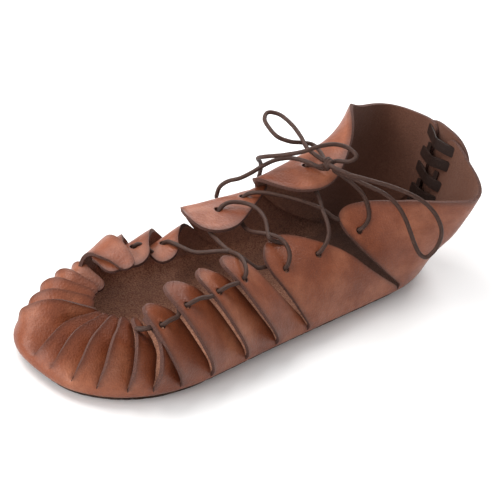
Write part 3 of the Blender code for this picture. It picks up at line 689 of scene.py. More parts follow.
class FlapShape:
    """Works out the outer skin of one flap."""

    def __init__(self, flap: Flap) -> None:
        """Sets the flap on the outline.

        Args:
            flap: The flap's row.
        """
        self.flap = flap
        self.middle = (flap.start + flap.end) / 2
        self.origin = OUTLINE_CURVE.at(self.middle)
        self.width = (flap.end - flap.start) * OUTLINE_CURVE.girth
        self.fan = flap.hold > 0 and flap.reach == 0
        self.creases = [crease for crease in CREASES if crease.flap == flap.name]
        if self.fan:
            self.out_way = (self.origin - SIZES.fan_centre).normalized()
            self.distance = (self.origin - SIZES.fan_centre).length
            self.reach = self.fan_reach()
        else:
            self.out_way = OUTLINE_CURVE.outward(self.middle)
            self.reach = flap.reach
        self.onward = Vector((self.out_way.y, -self.out_way.x))
        for name, across in PULLS:
            if name == flap.name:
                self.creases += self.pull(across)

    def pull(self, across: float) -> list[Crease]:
        """The stretch wrinkles at one place across the flap's foot."""
        up = SIZES.slit_root / self.reach
        return [
            Crease(self.flap.name, across + (k - 1) * PULL_SPREAD, up, PULL_TURN + PULL_FANNING * k,
                   PULL_LENGTH, PULL_WIDTH, -PULL_DEPTH)
            for k in range(PULL_LINES)
        ]

    def fan_reach(self) -> float:
        """The climb at which a toe tab reaches the rim of the opening."""
        wanted = SIZES.rim_radius - self.distance
        low, high = FAN_REACHES
        for _ in range(FAN_TRIES):
            self.reach = (low + high) / 2
            if self.section_path(0.5, self.middle, self.reach)[0] > wanted:
                low = self.reach
            else:
                high = self.reach
        return self.reach

    def section(self, across: float) -> tuple[float, ...]:
        """The row of the flap's sections at a place across it."""
        return blend_rows(self.flap.sections, across)

    def section_path(self, across: float, around: float, climb: float) -> tuple[float, float, float]:
        """Follows the leather up at a place across the flap.

        Args:
            across: The place across the flap.
            around: The place round the outline.
            climb: How far up to go.

        Returns:
            The travel outwards, the height and the heading.
        """
        _, _, bend_from, bend_over, bend, _ = self.section(across)
        around += (self.middle - around) * self.flap.hold
        return climb_path(
            around, bend_from * self.reach, bend_over * self.reach, math.radians(bend), climb
        )

    def edges(self, climb: float) -> tuple[float, float]:
        """Where the two edges lie along the outline at a climb, measured from the flap's middle."""
        above = max(0.0, climb - SIZES.slit_root)
        rising = above / (self.reach - SIZES.slit_root)
        slit = SIZES.slit * min(1.0, above / (3 * SIZES.slit))
        width = self.width
        if self.fan:
            out = self.section_path(0.5, self.middle, climb)[0]
            grown = (self.distance + out) / self.distance
            width *= 1 + (grown - 1) * smooth_step(above / OFF_OVER)
            width = max(width, FAN_TIP_WIDTH)
        tucked = smooth_step((above - TUCK_START) / TUCK_OVER)
        lean_start = tucked if self.flap.tucked == "start" else self.shift(rising)
        lean_end = tucked if self.flap.tucked == "end" else self.shift(rising)
        under = self.flap.under * smooth_step(above / UNDER_OVER)
        under *= 1 - smooth_step((rising - UNDER_FADE) / (1 - UNDER_FADE))
        first = -width / 2 + slit - under + self.flap.lean_start * self.reach * lean_start
        last = width / 2 - slit + self.flap.lean_end * self.reach * lean_end
        return first, last

    def shift(self, rising: float) -> float:
        """How much of the lean is reached: none at the slit's root, easing into a straight line."""
        rising = max(0.0, rising - LEAN_DELAY) / (1 - LEAN_DELAY)
        return rising * (1 + self.flap.ease - self.flap.ease * rising)

    def tilt(self, climb: float) -> float:
        """The flap's turn about its own length at a climb, in radians."""
        above = max(0.0, climb - SIZES.slit_root)
        return math.radians(self.flap.tilt) * smooth_step(above / TILT_OVER)

    def top(self, across: float) -> float:
        """The climb at the flap's upper edge, with its corners rounded."""
        reach = self.section(across)[1] * self.reach
        first, last = self.edges(reach)
        from_first = across * (last - first)
        from_last = (1 - across) * (last - first)
        for distance, share in ((from_first, self.flap.round_start), (from_last, self.flap.round_end)):
            radius = min(share * self.reach, 0.5 * (last - first))
            if distance < radius:
                reach -= radius - math.sqrt(max(0.0, radius**2 - (radius - distance) ** 2))
        return reach

    def climb_at(self, across: float, up: float) -> float:
        """The climb at a share of the way from the slits' roots to the upper edge."""
        return SIZES.slit_root + (self.top(across) - SIZES.slit_root) * up

    def rub(self, across: float, climb: float) -> float:
        """How close a point is to a cut edge: 1 on it, and fading inwards."""
        first, last = self.edges(climb)
        near = min(across * (last - first), (1 - across) * (last - first), self.top(across) - climb)
        return math.exp(-max(0.0, near) / RUB_WIDTH)

    def relief(self, across: float, climb: float, spot: Vector) -> float:
        """How far the listed creases and the leather's slackness raise a point.

        Args:
            across: The place across the flap.
            climb: The climb of the point.
            spot: The point on the plain skin.

        Returns:
            The rise along the normal.
        """
        first, last = self.edges(climb)
        along = first + (last - first) * across
        rise = 0.0
        for crease in self.creases:
            middle_climb = crease.up * self.reach
            low, high = self.edges(middle_climb)
            offset = Vector((along - (low + (high - low) * crease.across), climb - middle_climb))
            turn = math.radians(crease.turn)
            lengthwise = offset.x * math.cos(turn) + offset.y * math.sin(turn)
            sideways = offset.y * math.cos(turn) - offset.x * math.sin(turn)
            fade = math.exp(-((lengthwise / (0.5 * crease.length)) ** 2))
            rise += crease.height * fade * math.exp(-((sideways / crease.width) ** 2))
        slack = smooth_step((climb - SIZES.slit_root) / OFF_OVER)
        calm = FAN_SLACK if self.fan else (HELD_SLACK if self.flap.hold > 0 else 1.0)
        return rise + slack * calm * WAVE_HEIGHT * noise.noise(spot / WAVE_SIZE)

    def plain_point(self, across: float, climb: float, raised: float = 0.0) -> Vector:
        """A point of the plain outer skin, or one raised off it along its normal."""
        above = max(0.0, climb - SIZES.slit_root)
        first, last = self.edges(climb)
        along = first + (last - first) * across
        off = self.section(across)[5] * SIZES.leather * smooth_step(above / OFF_OVER)
        tilt = self.tilt(climb)
        around = self.middle + along / OUTLINE_CURVE.girth
        out, height, heading = self.section_path(across, around, climb)
        lift = off + raised + along * math.sin(tilt)
        follow = place(
            OUTLINE_CURVE.at(around), OUTLINE_CURVE.outward(around), out, height, heading, lift
        )
        if self.flap.hold == 0:
            return follow
        origin = self.origin + self.onward * along * math.cos(tilt)
        straight = place(origin, self.out_way, out, height, heading, lift)
        return follow.lerp(straight, self.flap.hold * smooth_step(above / (HOLD_OVER * self.reach)))

    def point(self, across: float, climb: float, raised: float = 0.0) -> Vector:
        """A point of the finished outer skin, with its creases."""
        plain = self.plain_point(across, climb)
        return self.plain_point(across, climb, raised + self.relief(across, climb, plain))

    def spot(self, across: float, up: float, raised: float = 0.0) -> Vector:
        """A point by its share of the way up the flap."""
        return self.point(across, self.climb_at(across, up), raised)

    def foot(self, across: float, climb: float) -> Vector:
        """A point of the turned edge below the slits, with the creases that reach down to it.

        Args:
            across: The place across the flap.
            climb: The climb of the point.

        Returns:
            The point.
        """
        share = self.flap.start + (self.flap.end - self.flap.start) * across
        spot, out_way = OUTLINE_CURVE.at(share), OUTLINE_CURVE.outward(share)
        path = climb_path(share, 1.0, 1.0, 0.0, climb)
        calm = smooth_step(min(across, 1 - across) / FOOT_CALM) * smooth_step(climb / SIZES.slit_root)
        rise = calm * self.relief(across, climb, place(spot, out_way, *path, 0.0))
        return place(spot, out_way, *path, rise)


def make_flaps() -> dict[str, Flap]:
    """All flaps by name, in order round the outline, starting with the heel tab."""
    outer, inner = OUTER_SLITS, INNER_SLITS
    flaps = [
        Flap("heel_tab", inner[6] - 1, outer[0], 8, 9, SIZES.heel_tab_reach, 0.0, 0.0, 0.16, 0.16, 0.0,
             0.0, EASE, 0.0, "", (), HEEL_TAB_SECTIONS),
        Flap("quarter_outer", outer[0], outer[1], 14, 10, SIZES.quarter_reach, -0.17, 0.44, 0.03, 0.16,
             0.0, 0.0, FULL_EASE, 0.0, "start", ((25, 15),), OUTER_QUARTER),
        Flap("middle_outer", outer[1], outer[2], 10, 9, SIZES.middle_reach, 0.70, 0.33, 0.22, 0.20, 0.0,
             0.0, EASE, 0.0, "", ((15, 13), (7, 13)), OUTER_MIDDLE),
    ]
    for k, row in enumerate(OUTER_PETALS):
        flaps.append(
            Flap(f"petal_outer_{k}", outer[k + 2], outer[k + 3], 6, 8, row.reach * SIZES.petal_reach,
                 row.trailing, row.leading, PETAL_ROUND, PETAL_ROUND, PETAL_TILT, 1.0, EASE,
                 PETAL_UNDER, "", ((8, 12),), OUTER_PETAL)
        )
    for k, (start, end) in enumerate(zip(FAN_SLITS, FAN_SLITS[1:])):
        bend = FAN_END_ANGLE - math.degrees(wall_at((start + end) / 2)[0])
        sections = (
            Section(0.00, 1.0, FAN_BEND, FAN_BEND_OVER, bend, 0.0),
            Section(1.00, 1.0, FAN_BEND, FAN_BEND_OVER, bend, 0.0),
        )
        hold = FAN_WIDE_HOLD if end - start > FAN_WIDE else 1.0
        flaps.append(
            Flap(f"toe_tab_{k}", start, end, 4, 8, 0.0, 0.0, 0.0, FAN_ROUND, FAN_ROUND, FAN_TILT, hold,
                 EASE, FAN_UNDER, "", ((4, 12),) if k == 0 else (), sections)
        )
    for k, row in reversed(list(enumerate(INNER_PETALS))):
        flaps.append(
            Flap(f"petal_inner_{k}", inner[3 - k], inner[4 - k], 6, 9, row.reach * SIZES.petal_reach,
                 -row.leading, -row.trailing, PETAL_ROUND, PETAL_ROUND, PETAL_TILT, 1.0, EASE,
                 PETAL_UNDER, "", ((6, 14),) if k < 2 else (), INNER_PETAL)
        )
    flaps += [
        Flap("middle_inner", inner[4], inner[5], 10, 9, SIZES.middle_reach, -0.54, -0.86, 0.20, 0.16,
             0.0, 0.0, EASE, PETAL_UNDER, "", ((8, 14), (13, 14)), INNER_MIDDLE),
        Flap("quarter_inner", inner[5], inner[6], 14, 10, SIZES.quarter_reach, -0.66, 0.17, 0.16, 0.03,
             0.0, 0.0, EARLY_EASE, QUARTER_UNDER, "end", ((6, 16),), INNER_QUARTER),
    ]
    return {flap.name: flap for flap in flaps}


def column_places(columns: int, fine: int = 1) -> list[float]:
    """Places across a flap, closer together towards its edges, where its corners are rounded.

    Args:
        columns: The flap's coarse columns.
        fine: The fine columns in each of them.

    Returns:
        The places, from 0 to 1.
    """
    eased = min(1.0, 8 / columns) ** 2
    places = []
    for j in range(columns * fine + 1):
        even = j / (columns * fine)
        places.append(even + (0.5 - 0.5 * math.cos(math.pi * even) - even) * eased)
    return places


class Nodes:
    """Adds and joins the nodes of one finish."""

    def __init__(self, name: str) -> None:
        """Starts a material.

        Args:
            name: The material's name.
        """
        self.material = bpy.data.materials.new(name)
        self.material.use_nodes = True
        self.tree = self.material.node_tree
        self.surface = self.tree.nodes["Principled BSDF"]

    def add(self, kind: str, settings: dict | None = None, **sockets: object) -> bpy.types.Node:
        """Adds a node.

        Args:
            kind: The node's type.
            settings: Its own settings.
            sockets: Values of its inputs, with _ for a space.

        Returns:
            The node.
        """
        node = self.tree.nodes.new(kind)
        for name, value in (settings or {}).items():
            setattr(node, name, value)
        for name, value in sockets.items():
            node.inputs[name.replace("_", " ")].default_value = value
        return node

    def join(self, source: bpy.types.NodeSocket, target: bpy.types.NodeSocket) -> None:
        """Links an output to an input."""
        self.tree.links.new(source, target)

    def settle_surface(self, values: dict) -> None:
        """Sets the surface's plain inputs by their names."""
        for name, value in values.items():
            self.surface.inputs[name].default_value = value

    def noise(self, coordinates: bpy.types.NodeSocket, scale: float, detail: float = 3.0,
              roughness: float = 0.5) -> bpy.types.NodeSocket:
        """Adds a noise.

        Args:
            coordinates: What it lies on.
            scale: Its repeats in a metre.
            detail: Its octaves.
            roughness: How much the finer octaves count.

        Returns:
            Its value.
        """
        node = self.add("ShaderNodeTexNoise", Scale=scale, Detail=detail, Roughness=roughness)
        self.join(coordinates, node.inputs["Vector"])
        return node.outputs["Fac"]

    def ramp(self, value: bpy.types.NodeSocket,
             stops: Sequence[tuple[float, tuple]]) -> bpy.types.NodeSocket:
        """Turns a value into a colour.

        Args:
            value: The value.
            stops: Places and their colours.

        Returns:
            The colour.
        """
        node = self.add("ShaderNodeValToRGB")
        elements = node.color_ramp.elements
        while len(elements) < len(stops):
            elements.new(0.5)
        for element, (place_at, colour) in zip(elements, stops):
            element.position = place_at
            element.color = (*colour, 1.0)
        self.join(value, node.inputs["Fac"])
        return node.outputs["Color"]

    def spread(self, value: bpy.types.NodeSocket, low: float, high: float, to_low: float,
               to_high: float) -> bpy.types.NodeSocket:
        """Maps a value from one range to another, held at its ends."""
        node = self.add("ShaderNodeMapRange", **{
            "From_Min": low, "From_Max": high, "To_Min": to_low, "To_Max": to_high})
        self.join(value, node.inputs["Value"])
        return node.outputs["Result"]

    def mix(self, factor: bpy.types.NodeSocket | float, first: bpy.types.NodeSocket | tuple,
            second: bpy.types.NodeSocket | tuple, blend: str = "MIX") -> bpy.types.NodeSocket:
        """Mixes two colours.

        Args:
            factor: How much of the second.
            first: A colour or where it comes from.
            second: A colour or where it comes from.
            blend: The way of mixing.

        Returns:
            The mixed colour.
        """
        node = self.add("ShaderNodeMix", {"data_type": "RGBA", "blend_type": blend})
        for socket, value in ((node.inputs[0], factor), (node.inputs[6], first), (node.inputs[7], second)):
            if isinstance(value, bpy.types.NodeSocket):
                self.join(value, socket)
            else:
                socket.default_value = (*value, 1.0) if isinstance(value, tuple) else value
        return node.outputs[2]

    def bump(self, height: bpy.types.NodeSocket, strength: float, distance: float,
             under: bpy.types.NodeSocket | None = None) -> bpy.types.NodeSocket:
        """Adds a relief.

        Args:
            height: Its height, from 0 to 1.
            strength: How strong it is.
            distance: Its real depth.
            under: The relief that it lies on.

        Returns:
            The normal.
        """
        node = self.add("ShaderNodeBump", Strength=strength, Distance=distance)
        self.join(height, node.inputs["Height"])
        if under is not None:
            self.join(under, node.inputs["Normal"])
        return node.outputs["Normal"]


@dataclass(frozen=True)
class GrainLeather:
    """The smooth side: reddish brown, semi-gloss, with a fine pebbled grain and painted highlight specks
    on it.
    """

    deep: tuple = (0.130, 0.029, 0.010)
    main: tuple = (0.200, 0.052, 0.020)
    pale: tuple = (0.320, 0.110, 0.054)
    rubbed: tuple = (0.060, 0.017, 0.009)
    blotch_scale: float = 38.0
    cloud_scale: float = 190.0
    pebble_scale: float = 1000.0
    speck_scale: float = 2300.0

    def build(self) -> bpy.types.Material:
        """Makes the material."""
        n = Nodes("grain_leather")
        spot = n.add("ShaderNodeTexCoord").outputs["Object"]
        blotch = n.noise(spot, self.blotch_scale, 4.0, 0.55)
        colour = n.ramp(blotch, ((0.30, self.deep), (0.50, self.main), (0.72, self.pale)))
        cloud = n.noise(spot, self.cloud_scale, 4.0, 0.6)
        colour = n.mix(n.spread(cloud, 0.35, 0.70, 0.0, 0.35), colour, self.deep)
        speck = n.noise(spot, self.speck_scale, 2.0, 0.7)
        # Pale specks: painted highlight, glints of light on the pebbled grain
        colour = n.mix(n.spread(speck, 0.56, 0.70, 0.0, 0.40), colour, self.pale)
        colour = n.mix(n.spread(speck, 0.30, 0.44, 0.45, 0.0), colour, self.rubbed)
        rub = n.add("ShaderNodeAttribute", {"attribute_name": "rub"}).outputs["Fac"]
        colour = n.mix(n.spread(rub, 0.25, 0.95, 0.0, 0.65), colour, self.rubbed)
        n.join(colour, n.surface.inputs["Base Color"])
        gloss = n.spread(cloud, 0.30, 0.70, 0.36, 0.52)
        n.join(gloss, n.surface.inputs["Roughness"])
        n.settle_surface({"Coat Weight": 0.06, "Coat Roughness": 0.32, "Specular IOR Level": 0.32})
        pebble = n.add("ShaderNodeTexVoronoi", {"feature": "SMOOTH_F1"}, Scale=self.pebble_scale)
        n.join(spot, pebble.inputs["Vector"])
        grain = n.bump(pebble.outputs["Distance"], 0.60, 0.00032)
        soft = n.bump(cloud, 0.30, 0.0007, grain)
        n.join(n.bump(speck, 0.25, 0.00012, soft), n.surface.inputs["Normal"])
        return n.material


@dataclass(frozen=True)
class FleshLeather:
    """The rough side: mottled brown with short nap and dark flecks, with painted shade towards the heel
    and up the inner walls.
    """

    dark: tuple = (0.130, 0.048, 0.027)
    main: tuple = (0.360, 0.155, 0.092)
    pale: tuple = (0.540, 0.280, 0.180)
    shaded: tuple = (0.030, 0.011, 0.007)
    nap_scale: float = 1150.0
    mottle_scale: float = 260.0
    stain_scale: float = 34.0

    def build(self) -> bpy.types.Material:
        """Makes the material."""
        n = Nodes("flesh_leather")
        spot = n.add("ShaderNodeTexCoord").outputs["Object"]
        nap = n.noise(spot, self.nap_scale, 4.0, 0.72)
        colour = n.ramp(nap, ((0.34, self.dark), (0.50, self.main), (0.68, self.pale)))
        mottle = n.noise(spot, self.mottle_scale, 5.0, 0.65)
        colour = n.mix(n.spread(mottle, 0.50, 0.72, 0.0, 0.55), colour, self.dark)
        stain = n.noise(spot, self.stain_scale, 3.0, 0.5)
        colour = n.mix(n.spread(stain, 0.45, 0.75, 0.0, 0.40), colour, self.dark)
        apart = n.add("ShaderNodeSeparateXYZ")
        n.join(spot, apart.inputs["Vector"])
        # Painted shade: darker towards the heel, where the inside of the shoe lies in shadow
        colour = n.mix(n.spread(apart.outputs["X"], 0.030, 0.095, 0.0, 0.80), colour, self.shaded)
        # Painted shade: the inner walls darker than the floor, from about 9 mm up
        colour = n.mix(n.spread(apart.outputs["Z"], 0.009, 0.026, 0.0, 0.55), colour, self.dark)
        n.join(colour, n.surface.inputs["Base Color"])
        n.settle_surface({
            "Roughness": 0.88,
            "Specular IOR Level": 0.28,
            "Sheen Weight": 0.12,
            "Sheen Roughness": 0.5,
        })
        nap_relief = n.bump(nap, 0.75, 0.0004)
        n.join(n.bump(mottle, 0.4, 0.0009, nap_relief), n.surface.inputs["Normal"])
        return n.material


@dataclass(frozen=True)
class CutEdge:
    """The leather's cut edge: dark, with pale loose fibres."""

    dark: tuple = (0.030, 0.011, 0.008)
    main: tuple = (0.095, 0.036, 0.024)
    fibre: tuple = (0.330, 0.185, 0.135)
    fibre_scale: float = 1700.0

    def build(self) -> bpy.types.Material:
        """Makes the material."""
        n = Nodes("cut_edge")
        spot = n.add("ShaderNodeTexCoord").outputs["Object"]
        fibres = n.noise(spot, self.fibre_scale, 5.0, 0.75)
        colour = n.ramp(
            fibres, ((0.36, self.dark), (0.52, self.main), (0.62, self.main), (0.70, self.fibre))
        )
        n.join(colour, n.surface.inputs["Base Color"])
        n.settle_surface({"Roughness": 0.86})
        n.join(n.bump(fibres, 0.9, 0.0005), n.surface.inputs["Normal"])
        return n.material


@dataclass(frozen=True)
class SoleSuede:
    """The thin sole: dark suede with scuffed fibres."""

    dark: tuple = (0.022, 0.012, 0.009)
    main: tuple = (0.062, 0.034, 0.024)
    scuff: tuple = (0.170, 0.105, 0.075)
    nap_scale: float = 900.0
    scuff_scale: float = 70.0

    def build(self) -> bpy.types.Material:
        """Makes the material."""
        n = Nodes("sole_suede")
        spot = n.add("ShaderNodeTexCoord").outputs["Object"]
        nap = n.noise(spot, self.nap_scale, 5.0, 0.7)
        scuffs = n.noise(spot, self.scuff_scale, 6.0, 0.7)
        colour = n.ramp(nap, ((0.35, self.dark), (0.65, self.main)))
        colour = n.mix(n.spread(scuffs, 0.52, 0.72, 0.0, 0.55), colour, self.scuff)
        n.join(colour, n.surface.inputs["Base Color"])
        n.settle_surface({"Roughness": 0.94, "Specular IOR Level": 0.2})
        n.join(n.bump(nap, 0.9, 0.0006), n.surface.inputs["Normal"])
        return n.material


@dataclass(frozen=True)
class LaceLeather:
    """The round lace and the flat thong: dark brown, with pale streaks along them that are partly rubbed
    wear and partly painted highlight.
    """

    name: str
    dark: tuple = (0.014, 0.006, 0.004)
    main: tuple = (0.050, 0.022, 0.015)
    rubbed: tuple = (0.150, 0.078, 0.053)
    roughness: float = 0.50
    streaks: float = 0.55

    def build(self) -> bpy.types.Material:
        """Makes the material. Its map runs along the lace in units of 10 mm and once round it."""
        n = Nodes(self.name)
        along = n.add("ShaderNodeUVMap", {"uv_map": "lay"}).outputs["UV"]
        stretch = n.add("ShaderNodeMapping")
        stretch.inputs["Scale"].default_value = (1.3, 7.0, 1.0)
        n.join(along, stretch.inputs["Vector"])
        streak = n.noise(stretch.outputs["Vector"], 2.4, 5.0, 0.65)
        # Pale streaks along the cord: partly rubbed wear, partly painted highlight
        colour = n.ramp(streak, ((0.34, self.dark), (0.55, self.main), (0.74, self.rubbed)))
        patch = n.noise(along, 1.1, 3.0, 0.5)
        colour = n.mix(n.spread(patch, 0.40, 0.68, self.streaks, 0.0), colour, self.main)
        n.join(colour, n.surface.inputs["Base Color"])
        n.join(n.spread(streak, 0.3, 0.7, self.roughness - 0.06, self.roughness + 0.16),
               n.surface.inputs["Roughness"])
        n.settle_surface({"Specular IOR Level": 0.25})
        n.join(n.bump(streak, 0.6, 0.0004), n.surface.inputs["Normal"])
        return n.material


@dataclass(frozen=True)
class PaleFloor:
    """The studio floor: plain, nearly white."""

    colour: tuple = (0.90, 0.90, 0.90)

    def build(self) -> bpy.types.Material:
        """Makes the material."""
        n = Nodes("pale_floor")
        n.settle_surface({
            "Base Color": (*self.colour, 1.0),
            "Roughness": 0.9,
            "Specular IOR Level": 0.1,
        })
        return n.material


def deselect_all() -> None:
    """Leaves nothing selected, so that an operator acts on the new piece alone."""
    for thing in bpy.context.selected_objects:
        thing.select_set(False)


def flat_grid(columns: int, lines: int) -> bpy.types.Object:
    """A flat square grid one metre wide, the only thing selected."""
    deselect_all()
    bpy.ops.mesh.primitive_grid_add(x_subdivisions=columns, y_subdivisions=lines, size=1.0)
    return bpy.context.object


def put_in_scene(bm: bmesh.types.BMesh, name: str) -> bpy.types.Object:
    """Turns a finished bmesh into an object of the scene.

    Args:
        bm: The bmesh, which is freed.
        name: The object's name.

    Returns:
        The object.
    """
    mesh = bpy.data.meshes.new(name)
    bm.to_mesh(mesh)
    bm.free()
    piece = bpy.data.objects.new(name, mesh)
    bpy.context.scene.collection.objects.link(piece)
    return piece


def only(piece: bpy.types.Object) -> bpy.types.Object:
    """Selects one object and makes it the active one."""
    deselect_all()
    piece.select_set(True)
    bpy.context.view_layer.objects.active = piece
    return piece


def join_all(pieces: list[bpy.types.Object], name: str) -> bpy.types.Object:
    """Joins meshes into one.

    Args:
        pieces: The objects, the first of which stays.
        name: The joined object's name.

    Returns:
        The joined object.
    """
    only(pieces[0])
    for piece in pieces:
        piece.select_set(True)
    bpy.ops.object.join()
    pieces[0].name = name
    pieces[0].data.name = name
    return pieces[0]


def apply_all(piece: bpy.types.Object) -> None:
    """Applies every modifier of a piece, in order."""
    only(piece)
    for modifier in list(piece.modifiers):
        bpy.ops.object.modifier_apply(modifier=modifier.name)


def settle(piece: bpy.types.Object, slot: Slot, *nodes: str) -> bpy.types.Object:
    """Reports a finished piece to the frame.

    Args:
        piece: The piece, at its place.
        slot: The record's slot of its finish. Not used.
        nodes: The solids that it stands for.

    Returns:
        The piece.
    """
    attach(piece, BODY)
    if nodes:
        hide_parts(*nodes)
    size = len(piece.data.polygons) if piece.type == "MESH" else 0
    LOG.info("%s: %d faces, for %s", piece.name, size, ", ".join(nodes) or "no solid")
    return piece


@dataclass
class LeatherUpper:
    """The slit piece of leather: floor, turned edge and all its flaps."""

    sizes: ShoeSizes
    flaps: dict[str, Flap]
    shapes: dict[str, FlapShape] = field(default_factory=dict)
    hole_reach: int = 2
    edge_crease: float = 0.55

    def __post_init__(self) -> None:
        """Works out every flap's shape."""
        self.shapes = {name: FlapShape(flap) for name, flap in self.flaps.items()}

    def hole_place(self, name: str, number: int) -> tuple[float, float]:
        """Where a hole lies on its flap.

        Args:
            name: The flap.
            number: The hole's number on it.

        Returns:
            The place across and the climb.
        """
        flap = self.flaps[name]
        column, row = flap.holes[number]
        across = column_places(flap.columns, FINE)[column]
        return across, self.shapes[name].climb_at(across, row / (flap.rows * FINE))

    def flap_piece(self, flap: Flap) -> bpy.types.Object:
        """Shapes a flat grid into one flap and opens its holes.

        Args:
            flap: The flap.

        Returns:
            The flap's outer skin.
        """
        columns, rows = flap.columns * FINE, flap.rows * FINE
        piece = flat_grid(columns, rows)
        shape = self.shapes[flap.name]
        places = column_places(flap.columns, FINE)
        bm = bmesh.new()
        bm.from_mesh(piece.data)
        rub = bm.verts.layers.float.new("rub")
        cells = {}
        for vert in bm.verts:
            cell = (round((vert.co.x + 0.5) * columns), round((vert.co.y + 0.5) * rows))
            cells[cell] = vert
        rims = []
        for column, row in flap.holes:
            inside = [
                face for face in bm.faces
                if abs((face.calc_center_median().x + 0.5) * columns - column) < self.hole_reach
                and abs((face.calc_center_median().y + 0.5) * rows - row) < self.hole_reach
            ]
            edges = {edge for face in inside for edge in face.edges}
            border = [edge for edge in edges if sum(face in inside for face in edge.link_faces) == 1]
            bmesh.ops.delete(bm, geom=inside, context="FACES")
            rims.append(((column, row), border))
        for cell, vert in cells.items():
            if vert.is_valid:
                across = places[cell[0]]
                climb = shape.climb_at(across, cell[1] / rows)
                vert[rub] = shape.rub(across, climb) if cell[1] else 0.0
                vert.co = shape.point(across, climb) if cell[1] else shape.foot(across, climb)
        for (column, row), border in rims:
            across = places[column]
            centre = shape.point(across, shape.climb_at(across, row / rows))
            out = self.normal(shape, across, shape.climb_at(across, row / rows))
            for radius, sink, worn in HOLE_RIMS:
                grown = bmesh.ops.extrude_edge_only(bm, edges=border)["geom"]
                border = [item for item in grown if isinstance(item, bmesh.types.BMEdge)]
                for vert in {vert for edge in border for vert in edge.verts}:
                    way = (vert.co - centre) - out * (vert.co - centre).dot(out)
                    reach = min(radius * self.sizes.hole_radius, RIM_SHARE * way.length)
                    lift = (vert.co - centre).dot(out) * (reach / max(way.length, 1e-6)) ** 2
                    vert.co = centre + way.normalized() * reach + out * (
                        lift - sink * DIMPLE_DEPTH)
                    vert[rub] = worn
        bmesh.ops.recalc_face_normals(bm, faces=bm.faces)
        bm.to_mesh(piece.data)
        bm.free()
        piece.name = flap.name
        return piece

    def normal(self, shape: FlapShape, across: float, climb: float) -> Vector:
        """The direction straight off a flap's outer skin.

        Args:
            shape: The flap's shape.
            across: The place across it.
            climb: The climb of the place.

        Returns:
            The unit direction.
        """
        raised = shape.plain_point(across, climb, self.sizes.leather)
        return (raised - shape.plain_point(across, climb)).normalized()

    def base_piece(self) -> bpy.types.Object:
        """Makes the floor under the foot and the turned edge up to the slits' roots."""
        feet: list[tuple[FlapShape, float]] = []
        shares: list[float] = []
        for shape in self.shapes.values():
            flap = shape.flap
            for across in column_places(flap.columns, FINE)[:-1]:
                feet.append((shape, across))
                shares.append(flap.start + (flap.end - flap.start) * across)
        start = next(k for k, share in enumerate(shares) if share >= 0)
        feet = feet[start:] + feet[:start]
        shares = shares[start:] + shares[:start]
        count = len(shares)
        rings: list[list[Vector]] = []
        edge = [OUTLINE_CURVE.at(share) for share in shares]
        inner = [climb_path(share, 1.0, 1.0, 0.0, 0.0)[0] for share in shares]
        floor_edge = [
            spot + OUTLINE_CURVE.outward(share) * out for share, spot, out in zip(shares, edge, inner)
        ]
        spine = FLOOR_SPINE * self.sizes.length
        for keep in FLOOR_RINGS[::-1]:
            ring = []
            for spot in floor_edge:
                middle = Vector((max(-spine, min(spine, spot.x)), 0.0))
                flat = middle.lerp(spot, keep)
                soft = FLOOR_SWELL * noise.noise(Vector((flat.x, flat.y, 0.0)) / FLOOR_SWELL_SIZE)
                ring.append(Vector((flat.x, flat.y, self.sizes.floor + floor_lift(flat.x) + abs(soft))))
            rings.append(ring)
        for row in range(TURN_ROWS + 1):
            climb = self.sizes.slit_root * row / TURN_ROWS
            rings.append([shape.foot(across, climb) for shape, across in feet])
        bm = bmesh.new()
        bm.verts.layers.float.new("rub")
        made = [[bm.verts.new(spot) for spot in ring] for ring in rings]
        for low, high in zip(made, made[1:]):
            for j in range(count):
                k = (j + 1) % count
                bm.faces.new((low[j], high[j], high[k], low[k]))
        zip_across(bm, made[0])
        return put_in_scene(bm, "leather_base")

    def build(self, finishes: Sequence[bpy.types.Material]) -> bpy.types.Object:
        """Builds the upper.

        Args:
            finishes: The smooth side, the rough side and the cut edge.

        Returns:
            The finished upper.
        """
        pieces = [self.base_piece()] + [self.flap_piece(flap) for flap in self.flaps.values()]
        upper = join_all(pieces, "leather_upper")
        bpy.ops.object.mode_set(mode="EDIT")
        bpy.ops.mesh.select_all(action="SELECT")
        bpy.ops.mesh.remove_doubles(threshold=0.00002)
        bpy.ops.mesh.normals_make_consistent(inside=False)
        bpy.ops.object.mode_set(mode="OBJECT")
        self.face_out(upper)
        upper.data.materials.clear()
        for finish in finishes:
            upper.data.materials.append(finish)
        wall = upper.modifiers.new("wall", "SOLIDIFY")
        wall.thickness = self.sizes.leather
        wall.offset = -1
        wall.use_even_offset = True
        wall.material_offset = 1
        wall.material_offset_rim = 2
        wall.edge_crease_inner = self.edge_crease
        wall.edge_crease_outer = self.edge_crease
        smooth = upper.modifiers.new("smooth", "SUBSURF")
        smooth.levels = 1
        smooth.render_levels = 1
        apply_all(upper)
        bpy.ops.object.shade_smooth_by_angle(angle=math.radians(48))
        return settle(upper, Slot.LEATHER, "upper")

    def face_out(self, upper: bpy.types.Object) -> None:
        """Turns the skin so that the floor faces down and the walls face away from the foot."""
        bm = bmesh.new()
        bm.from_mesh(upper.data)
        lowest = min(bm.faces, key=lambda face: face.calc_center_median().length_squared)
        if lowest.normal.z > 0:
            bmesh.ops.reverse_faces(bm, faces=bm.faces)
        bm.to_mesh(upper.data)
        bm.free()


